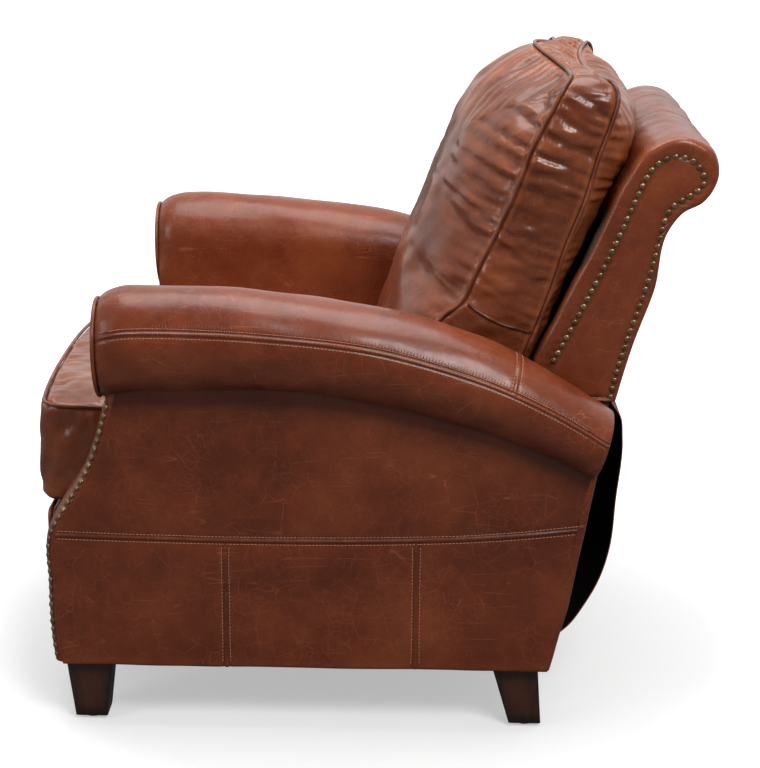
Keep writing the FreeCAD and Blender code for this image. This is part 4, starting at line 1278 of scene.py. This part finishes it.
def inflate(obj, pinned, pressure, growth, frames, cap, free=None):
    """Fills the cushion with the cloth solver and keeps the result.

    The leather is a little larger than its form, pinned points stay and none moves further than cap.
    """
    rest = coordinates(obj)
    group = obj.vertex_groups.new(name="seams")
    group.add([int(i) for i in pinned], 1.0, "REPLACE")
    cloth = obj.modifiers.new("fill", "CLOTH")
    settings = cloth.settings
    for key, value in CLOTH.items():
        setattr(settings, key, value)
    settings.uniform_pressure_force = pressure
    settings.vertex_group_mass = group.name
    settings.shrink_min = -growth
    settings.effector_weights.gravity = 0
    cloth.collision_settings.use_collision = False
    cloth.collision_settings.use_self_collision = False
    cloth.point_cache.frame_start = 1
    cloth.point_cache.frame_end = frames
    scene = bpy.context.scene
    for number in range(1, frames + 1):
        scene.frame_set(number)
    evaluated = obj.evaluated_get(bpy.context.evaluated_depsgraph_get())
    moved = np.zeros(len(rest) * 3, np.float32)
    evaluated.data.vertices.foreach_get("co", moved)
    shift = moved.reshape(-1, 3).astype(float) - rest
    obj.modifiers.clear()
    obj.vertex_groups.clear()
    scene.frame_set(1)
    size = np.linalg.norm(shift, axis=1)
    shift *= (cap * np.tanh(size / cap) / np.maximum(size, 1e-9))[:, None]
    if free is not None:
        shift *= free[:, None]
    set_coordinates(obj, rest + shift)


def pleats(co, line, reach, depth, spacing, seed, drift=0.0):
    """Gathers that run away from a welt and fade out over reach."""
    distance, place = nearest_on(line, co)
    phase = place + drift * distance
    wave = 0.65 * beat(phase, spacing, seed) + 0.35 * beat(phase, spacing * 2.3, seed + 1)
    return depth * wave * np.exp(-distance / reach) * smooth_step(distance / 0.004)


def welt(name, loop, out_from, radius, body, seed):
    """Leather piping along a closed seam, a little proud of it."""
    line = smooth_line(loop, int(arc_lengths(loop)[-1] / 0.005), closed=True)
    away = unit(line - out_from)
    line = line + away * radius * 0.35
    verts, faces = tube(line, radius, closed=True)
    obj = piece(name, verts, faces, LEATHER["piping"])
    co = coordinates(obj)
    set_attribute(obj, "wear_and_painted_light", np.clip(0.25 + 0.25 * ripple(co, 0.05, seed + 5), 0, 0.8))
    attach(obj, body)


BACK_WELT_X = 0.2625
BACK_WIDEST_X, BACK_NARROW_X = 0.284, 0.2705    # limits above and between the arms
LOWER_WELT = [(.1400, .6400), (.1600, .6230), (.1850, .6080), (.2150, .5965), (.2470, .5880)]
LOWER_WELT_X = 0.279
FRONT_WELT = [(.064, .478), (.080, .540), (.1035, .6040), (.1400, .6390), (.1525, .6690),
              (.176, .719), (.207, .788), (.234, .863), (.258, .912), (.274, .943), (.288, .962)]
FRONT_CROWN = [(-.004, .480), (.022, .561), (.055, .660), (.086, .741), (.116, .821), (.147, .892),
               (.172, .932), (.205, .963), (.246, .981)]
REAR_WELT = [(.202, .479), (.224, .536), (.246, .591), (.267, .650), (.286, .713), (.313, .787),
             (.330, .850), (.347, .900), (.355, .935), (.352, .958)]
REAR_CROWN = [(.216, .479), (.243, .540), (.270, .600), (.301, .670), (.328, .735), (.356, .800),
              (.384, .850), (.392, .900), (.372, .934), (.320, .951)]


def profile_face(seam, crown, flatness, top_flatness):
    """Face whose sides follow the seam line and whose middle follows the crown line."""
    seam, crown = smooth_line(seam, 200), smooth_line(crown, 200)
    share = np.linspace(0, 1, 200)

    def pick(line, v):
        return np.stack([np.interp(v, share, line[:, k]) for k in (0, 1)], axis=-1)

    def face(u, v):
        full = lerp(1 - np.abs(u) ** flatness, top_flatness(np.abs(u)), smooth_step((v - 0.72) / 0.28))
        yz = lerp(pick(seam, v), pick(crown, v), full[..., None])
        return np.concatenate([(BACK_WELT_X * u)[..., None], yz], axis=-1)

    return face


def back_cushion():
    """Boxed and welted back cushion, full in front, gathered along its welts."""
    front = profile_face(FRONT_WELT, FRONT_CROWN, 2.7, lambda a: 1 - smooth_step(a / 0.78))
    rear = profile_face(REAR_WELT, REAR_CROWN, 9.0, lambda a: 1 - a**2.6)
    cells = (54, 50)
    obj, ids_a, ids_b = boxed_cushion(
        "back_cushion_leather", front, rear, cells, 11, 0.006, (0.14, 0.15)
    )
    co = coordinates(obj)
    front_loop, rear_loop = co[ids_a], co[ids_b]
    is_rear = np.zeros(len(co), bool)
    is_rear[cells[0] * cells[1]:2 * cells[0] * cells[1]] = True
    pinned = sorted(set(ids_a) | set(ids_b) | set(np.nonzero(is_rear & (co[:, 2] < 0.82))[0]))
    high = smooth_step((co[:, 2] - 0.92) / 0.04)
    inflate(obj, pinned, 5.0, 0.022, 24, 0.016, free=lerp(1.0, 0.3, high))
    co = coordinates(obj)
    limit = lerp(BACK_WIDEST_X, BACK_NARROW_X, smooth_step((0.62 - co[:, 2]) / 0.04))
    co[:, 0] = np.clip(co[:, 0], -limit, limit)
    set_coordinates(obj, co)
    refine(obj, 2)
    front_seam = smooth_line(front_loop, 900, closed=True)
    rear_seam = smooth_line(rear_loop, 900, closed=True)
    co = coordinates(obj)
    lift = pleats(co, front_seam, 0.034, 1.7 * MM, 0.017, 101, 0.15)
    lift += pleats(co, rear_seam, 0.026, 1.5 * MM, 0.017, 103, -0.1)
    top = smooth_step((co[:, 2] - 0.60) / 0.30)
    gathers = pleats(co, front_seam, 0.13, 1.9 * MM, 0.024, 105) * top
    lift += gathers
    boxed = smooth_step((np.abs(co[:, 0]) - 0.245) / 0.02)
    folds = ripple(co, 0.026, 111, (1.0, 5.0, 0.9)) * 0.55 + ripple(co, 0.075, 112, (1.0, 3.4, 1.0)) * 2.3
    lift += MM * folds * boxed * smooth_step((co[:, 2] - 0.60) / 0.05)
    lift += MM * (1.5 * ripple(co, 0.14, 113) + 0.6 * ripple(co, 0.05, 114)) * (1 - boxed)
    d = np.minimum(nearest_on(front_seam, co)[0], nearest_on(rear_seam, co)[0])
    lift *= smooth_step((d - 0.002) / 0.012)
    lift -= 1.6 * MM * bell(d, 4.5 * MM)
    push(obj, lift)
    co = coordinates(obj)
    # painted shade beside the welts, in the hollows and in the gathers
    painted_shade_and_dark_rim = 0.75 * bell(d, 3.2 * MM) + 0.35 * smooth_step((-lift / MM - 2.2) / 2.5)
    painted_shade_and_dark_rim += 0.40 * smooth_step((-gathers / MM - 0.35) / 1.0)
    set_attribute(obj, "painted_shade_and_dark_rim", np.clip(painted_shade_and_dark_rim, 0, 1))
    # lighter on the crests and beside the welts, and painted light on the cushion's rear-facing side
    wear_and_painted_light = 0.35 * smooth_step((lift / MM - 0.9) / 2.0)
    wear_and_painted_light += 0.45 * bell(d - 0.007, 0.004)
    painted_light_behind = smooth_step((vertex_normals(obj)[:, 1] - 0.2) / 0.5)
    set_attribute(obj, "wear_and_painted_light", np.clip(wear_and_painted_light + 0.35 * painted_light_behind, 0, 1))
    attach(obj, "back")
    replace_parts(obj, "back_cushion")
    centre = co.mean(axis=0)
    welt("back_cushion_front_welt", front_loop, centre, 2.9 * MM, "back", 3)
    welt("back_cushion_rear_welt", rear_loop, centre, 2.9 * MM, "back", 4)
    tree = surface_of(obj)
    for key, side in SIDES.items():
        path, out = laid_on(tree, at_x(LOWER_WELT_X * side, smooth_line(LOWER_WELT, 40)))
        verts, faces = tube(path + out * 0.8 * MM, 2.6 * MM, 8)
        piping = piece(key + "_back_cushion_lower_welt", verts, faces, LEATHER["piping"])
        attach(piping, "back")


SEAT_X = 0.2625
SEAT_FRONT_TOP = (-.489, .4645)
SEAT_FRONT_LOW = (-.495, .3130)
SEAT_REAR_Y, SEAT_REAR_Z = 0.084, 0.450
SEAT_LEAST_Y, SEAT_MOST_Z = -0.5075, 0.4775


def seat_cushion():
    """Boxed and welted seat cushion; its front stands a little proud in the middle."""

    def top(u, v):
        full = 1 - np.abs(u) ** 2.6
        y = lerp(SEAT_FRONT_TOP[0], SEAT_REAR_Y, v) - 0.010 * full * (1 - v) ** 6
        crown = 0.007 + 0.012 * np.sin(math.pi * np.clip(v, 0, 1)) ** 0.7
        z = lerp(SEAT_FRONT_TOP[1], SEAT_REAR_Z, v) + full * crown
        return np.stack([SEAT_X * u, y, z], axis=-1)

    def low(u, v):
        y = lerp(SEAT_FRONT_LOW[0], SEAT_REAR_Y, v) - 0.004 * (1 - np.abs(u) ** 2.6) * (1 - v) ** 6
        return np.stack([SEAT_X * u, y, np.full_like(u, SEAT_FRONT_LOW[1])], axis=-1)

    cells = (52, 54)
    obj, ids_a, ids_b = boxed_cushion(
        "seat_cushion_leather", top, low, cells, 13, 0.0045, (0.10, 0.09)
    )
    co = coordinates(obj)
    top_loop, low_loop = co[ids_a], co[ids_b]
    base = set(range(cells[0] * cells[1], 2 * cells[0] * cells[1]))
    inflate(obj, sorted(set(ids_a) | set(ids_b) | base), 3.0, 0.018, 20, 0.007)
    co = coordinates(obj)
    inside = lerp(0.2700, 0.274, smooth_step((-0.40 - co[:, 1]) / 0.03))
    co[:, 0] = np.clip(co[:, 0], -inside, inside)
    co[:, 1] = np.maximum(co[:, 1], SEAT_LEAST_Y)
    co[:, 2] = np.minimum(co[:, 2], SEAT_MOST_Z)
    set_coordinates(obj, co)
    refine(obj, 2)
    lines = [smooth_line(loop, 800, closed=True) for loop in (top_loop, low_loop)]
    co = coordinates(obj)
    lift = pleats(co, lines[0], 0.024, 1.6 * MM, 0.022, 121)
    lift = lift + pleats(co, lines[1], 0.022, 1.3 * MM, 0.024, 123)
    lift += MM * (1.2 * ripple(co, 0.12, 125) + 0.6 * ripple(co, 0.045, 126))
    d = np.minimum(nearest_on(lines[0], co)[0], nearest_on(lines[1], co)[0])
    lift *= smooth_step((d - 0.002) / 0.010) * smooth_step((co[:, 2] - 0.306) / 0.01)
    lift -= 1.4 * MM * bell(d, 4.2 * MM)
    push(obj, lift)
    # painted shade in the grooves beside the welts
    set_attribute(obj, "painted_shade_and_dark_rim", np.clip(0.75 * bell(d, 3.2 * MM), 0, 1))
    wear_and_painted_light = 0.3 * smooth_step((lift / MM - 0.6) / 1.5) + 0.4 * bell(d - 0.007, 0.004)
    set_attribute(obj, "wear_and_painted_light", np.clip(wear_and_painted_light, 0, 1))
    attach(obj, "seat")
    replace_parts(obj, "seat_cushion")
    welt("seat_cushion_top_welt", top_loop, co.mean(axis=0), 3.0 * MM, "seat", 6)


def footrest_pad():
    """Padded front panel that becomes the footrest, with a piped edge."""
    low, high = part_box("footrest_pad")
    half = high.x - 0.001

    def panel(u, v, y):
        return np.stack([half * u, y, lerp(low.z + 0.003, high.z - 0.003, v)], axis=-1)

    def front(u, v):
        full = (1 - np.abs(u) ** 6) * (1 - np.abs(2 * v - 1) ** 5)
        return panel(u, v, low.y + 0.012 - 0.010 * full)

    def back(u, v):
        return panel(u, v, np.full_like(u, high.y - 0.0005))

    obj, ids_a, _ = boxed_cushion(
        "footrest_leather", front, back, (60, 26), 4, 0.001, (0.035, 0.10)
    )
    co = coordinates(obj)
    loop = co[ids_a]
    refine(obj, 2)
    co = coordinates(obj)
    line = smooth_line(loop, 800, closed=True)
    ahead = smooth_step((high.y - 0.008 - co[:, 1]) / 0.008)
    lift = pleats(co, line, 0.020, 0.9 * MM, 0.020, 131)
    lift += MM * (0.6 * ripple(co, 0.13, 133) + 0.3 * ripple(co, 0.045, 134))
    d = nearest_on(line, co)[0]
    lift = lift * ahead * smooth_step((d - 0.002) / 0.010) - 1.2 * MM * bell(d, 4.0 * MM)
    push(obj, lift)
    # painted shade in the groove beside the welt
    set_attribute(obj, "painted_shade_and_dark_rim", np.clip(0.7 * bell(d, 3.2 * MM), 0, 1))
    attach(obj, "footrest")
    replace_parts(obj, "footrest_pad")
    welt("footrest_welt", loop, co.mean(axis=0), 3.0 * MM, "footrest", 8)


# ---- flap ---------------------------------------------------------------------
FLAP_CURVE = [(.3560, .4935), (.3640, .4800), (.3750, .4620), (.3785, .4300), (.3710, .3310), (.3640, .2500),
              (.3520, .2050), (.3310, .1610), (.3070, .1240), (.2800, .1015)]
FLAP_HALF_WIDTH = 0.270
FLAP_THICKNESS = 0.0025


def rear_flap():
    """Loose leather skirt that closes the gap between the back and the base."""
    line = smooth_line(FLAP_CURVE, 90)
    ahead = headings(line)
    inward = np.column_stack([ahead[:, 1], -ahead[:, 0]])
    inward[inward[:, 0] > 0] *= -1
    x = np.linspace(-FLAP_HALF_WIDTH, FLAP_HALF_WIDTH, 72)
    lengths = arc_lengths(line)
    free = np.sin(math.pi * (lengths / lengths[-1])) ** 0.8
    front, back = [], []
    for place in x:
        wave = 0.0022 * free * math.sin(2.3 * place / FLAP_HALF_WIDTH + 0.6)
        curl = -0.004 * free * (abs(place) / FLAP_HALF_WIDTH) ** 6
        shift = inward * (wave + curl - 0.001)[:, None]
        front.append(at_x(place, line + shift))
        back.append(at_x(place, line + shift + inward * FLAP_THICKNESS))
    verts, faces = slab(front, back)
    obj = piece("rear_flap_leather", verts, faces, LEATHER["body"])
    # the flap's back is black lining, which also serves as painted shade inside the chair
    obj.data.materials.append(MATERIALS["lining"])
    one_side = (len(x) - 1) * (len(line) - 1)
    for polygon in obj.data.polygons[one_side:2 * one_side]:
        polygon.material_index = 1
    refine(obj, 1)
    co = coordinates(obj)
    set_attribute(obj, "wear_and_painted_light", 0.6 * smooth_step((np.abs(co[:, 0]) - FLAP_HALF_WIDTH + 0.004) / 0.003))
    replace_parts(obj, "rear_flap")
    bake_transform(obj)


DUST_COVER_X = 0.300
DUST_COVER_Y = (-0.286, 0.260)
DUST_COVER_Z = (0.1010, 0.1030)


def dust_cover():
    """Black cloth tacked under the base, a little slack in the middle."""
    x = np.linspace(-DUST_COVER_X, DUST_COVER_X, 40)
    y = np.linspace(*DUST_COVER_Y, 37)
    across, along = np.meshgrid(x, y)
    sag = (1 - (across / DUST_COVER_X) ** 2) * (1 - ((along - sum(DUST_COVER_Y) / 2) / 0.273) ** 2)
    sag = sag + 0.06 * beat(across.ravel(), 0.05, 151).reshape(across.shape) * (1 - np.abs(sag - 0.5))
    low = np.stack([across, along, DUST_COVER_Z[0] - 0.003 * sag], axis=-1)
    high = low + [0, 0, DUST_COVER_Z[1] - DUST_COVER_Z[0] - 0.0012]
    verts, faces = slab(low, high)
    obj = piece("base_dust_cover", verts, faces, MATERIALS["lining"])
    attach(obj, "base")


# ---- legs ---------------------------------------------------------------------
LEG_X = 0.341
LEG_TOP, LEG_LOW = 0.0345, 0.0240
LEG_TOP_Z, LEG_LOW_Z = 0.104, 0.004
LEG_PLACES = {"front": (-.413, 0.0), "rear": (.224, 0.018)}     # y at the top, splay at the foot
# share of the height and how far the sides are eased in there
LEG_EASE = [(0.0, 0.0035), (0.004, 0.002), (0.015, 0.0), (0.2, 0), (0.4, 0), (0.6, 0), (0.8, 0),
            (0.985, 0.0), (0.996, 0.0010), (1.0, 0.0025)]


def leg_ring(centre, half, z, corner):
    """Square ring with rounded corners."""
    arcs = []
    for quarter in range(4):
        start = quarter * math.pi / 2
        x, y = (math.copysign(half - corner, f(start + math.pi / 4)) for f in (math.cos, math.sin))
        arcs.append([
            (centre[0] + x + corner * math.cos(a), centre[1] + y + corner * math.sin(a), z)
            for a in np.linspace(start, start + math.pi / 2, 6)
        ])
    ring = []
    for arc, following in zip(arcs, arcs[1:] + arcs[:1]):
        ring += arc + [tuple(p) for p in np.linspace(arc[-1], following[0], 10)[1:-1]]
    return np.array(ring)


def legs():
    """Tapered square legs with eased edges."""
    for key, side in SIDES.items():
        for place, (y, splay) in LEG_PLACES.items():
            rings = []
            for share, ease in LEG_EASE:
                z = lerp(LEG_LOW_Z, LEG_TOP_Z, share)
                half = lerp(LEG_LOW, LEG_TOP, share) - ease
                rings.append(leg_ring((LEG_X * side, y + splay * (1 - share)), half, z, 0.0028))
            verts, faces = loft(rings)
            obj = piece(key + "_" + place + "_leg_wood", verts, faces, MATERIALS["legs"])
            co = coordinates(obj)
            share = (co[:, 2] - LEG_LOW_Z) / (LEG_TOP_Z - LEG_LOW_Z)
            half = lerp(LEG_LOW, LEG_TOP, share)
            a = np.abs(co[:, 0] - LEG_X * side) / half
            b = np.abs(co[:, 1] - y - splay * (1 - share)) / half
            middle = 1 - np.minimum(a, b) ** 2
            glow = np.clip(middle, 0, 1) * smooth_step((1.0 - share) / 0.25) * smooth_step(share / 0.25)
            set_attribute(obj, "wear_and_painted_light", glow)
            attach(obj, "base")
            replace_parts(obj, key + "_" + place + "_leg")


# ---- carried-over CAD nodes ---------------------------------------------------
CAD_LOOKS = {
    "wood": ["left_side_frame", "right_side_frame", "left_back_frame", "right_back_frame",
             "corner_blocks", "base_front_rail", "base_rear_rail", "back_top_rail",
             "back_lower_rail", "seat_side_rails", "seat_front_rail", "seat_rear_rail",
             "footrest_board"],
    "enamel": ["base_plates", "back_levers", "seat_plates", "drive_links", "footrest_rear_cranks",
               "footrest_front_cranks", "footrest_lift_links", "footrest_tilt_links",
               "footrest_brackets", "left_swing_link", "right_swing_link"],
    "zinc": ["base_pivot_pins", "base_bolts", "back_lever_bolts", "seat_pivot_pins",
             "swing_rivets", "rear_crank_rivets", "front_crank_rivets", "footrest_rivets",
             "leg_bolts"],
    "plastic": ["leg_glides"],
    "webbing": ["back_webbing", "seat_webbing"],
    "deck": ["seat_deck"],
}


def finish_cad_nodes():
    """Gives each carried-over CAD node its material."""
    for look, names in CAD_LOOKS.items():
        for name in names:
            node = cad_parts[name]
            if not node.material_slots:
                node.data.materials.append(MATERIALS[look])
            for slot in node.material_slots:
                slot.material = MATERIALS[look]


# ---- studio -------------------------------------------------------------------
CAMERA_PLACE = (3.168, 0.085, 1.358)
CAMERA_YAW, CAMERA_PITCH, CAMERA_ROLL = -0.0233, 0.28538, 0.00823
CAMERA_LENS = 95.25
FLOOR_GLOW = 0.45                # of the floor near the chair; it fades to white


def camera():
    """The photograph's view."""
    yaw, pitch, roll = CAMERA_YAW, CAMERA_PITCH, CAMERA_ROLL
    ahead = Vector((-math.cos(yaw) * math.cos(pitch), math.sin(yaw) * math.cos(pitch), -math.sin(pitch)))
    right = ahead.cross(Vector((0, 0, 1))).normalized()
    up = right.cross(ahead)
    right, up = right * math.cos(roll) + up * math.sin(roll), up * math.cos(roll) - right * math.sin(roll)
    data = bpy.data.cameras.new("camera")
    data.lens, data.sensor_width = CAMERA_LENS, 36.0
    data.clip_end = 60
    obj = bpy.data.objects.new("camera", data)
    bpy.context.scene.collection.objects.link(obj)
    turn = Matrix((right, up, -ahead)).transposed().to_4x4()
    obj.matrix_world = Matrix.Translation(CAMERA_PLACE) @ turn
    bpy.context.scene.camera = obj


def area_light(name, place, target, size, power):
    """Soft white light that the camera doesn't see."""
    data = bpy.data.lights.new(name, "AREA")
    data.shape = "RECTANGLE"
    data.size, data.size_y = size
    data.energy = power
    obj = bpy.data.objects.new(name, data)
    bpy.context.scene.collection.objects.link(obj)
    obj.location = place
    obj.visible_camera = False
    obj.rotation_euler = (Vector(target) - Vector(place)).to_track_quat("-Z", "Y").to_euler()


def floor():
    """Pale seamless floor that glows as painted light: dim near the chair so that its shadows show, white
    further off, and brighter to the camera than to the chair.
    """
    mesh = bpy.data.meshes.new("studio_floor")
    mesh.from_pydata([(-40, -40, 0), (40, -40, 0), (40, 40, 0), (-40, 40, 0)], [], [(0, 1, 2, 3)])
    obj = bpy.data.objects.new("studio_floor", mesh)
    bpy.context.scene.collection.objects.link(obj)
    g = Graph("floor_paper")
    seen = g.add("ShaderNodeLightPath").outputs["Is Camera Ray"]
    paper = g.mix(seen, (0.12, 0.12, 0.12), (0.62, 0.62, 0.62))
    diffuse = g.add("ShaderNodeBsdfDiffuse", {"Color": paper})
    away = g.add("ShaderNodeVectorMath", {0: g.place}, operation="LENGTH").outputs["Value"]
    white = g.remap(away, 0.56, 1.05, FLOOR_GLOW, 1.0)
    level = g.math("MULTIPLY", g.remap(seen, 0.0, 1.0, 0.05, 1.0), white)
    glow = g.add("ShaderNodeEmission", {"Color": (1, 1, 1, 1), "Strength": level})
    both = g.add("ShaderNodeAddShader", {0: diffuse.outputs[0], 1: glow.outputs[0]})
    mesh.materials.append(g.finish(both))


def studio():
    """White studio: bright beyond the chair, dark on the camera's side, white to the camera."""
    g = Graph("studio", world=True)
    across = g.add("ShaderNodeSeparateXYZ", {0: g.place}).outputs["X"]
    level = g.remap(across, 0.40, -0.60, 0.10, 0.85)
    seen = g.add("ShaderNodeLightPath").outputs["Is Camera Ray"]
    strength = g.add("ShaderNodeMix", {0: seen, 2: level, 3: 1.0}, data_type="FLOAT").outputs[0]
    light = g.add("ShaderNodeBackground", {"Color": (1, 1, 1, 1), "Strength": strength})
    bpy.context.scene.world = g.finish(light)
    area_light("overhead", (-0.1, 0.0, 2.7), (0, 0, 0.5), (2.2, 1.6), 44)
    area_light("front", (2.0, -2.9, 2.0), (0, 0, 0.5), (1.3, 1.6), 24)
    area_light("side", (3.0, 1.5, 3.5), (0, 0.1, 0.5), (1.8, 1.4), 106)
    bpy.context.scene.view_settings.view_transform = "Standard"
    floor()


# ---- everything ---------------------------------------------------------------
camera()
studio()
arms()
nail_heads("facing_nail_heads", "facing_nails", "base", facing_nail_places(), 141)
nail_heads("back_nail_heads", "back_nails", "back", nail_places("back_nails"), 142)
back_shell()
back_cushion()
seat_cushion()
footrest_pad()
rear_flap()
dust_cover()
legs()
finish_cad_nodes()

bpy.context.view_layer.update()
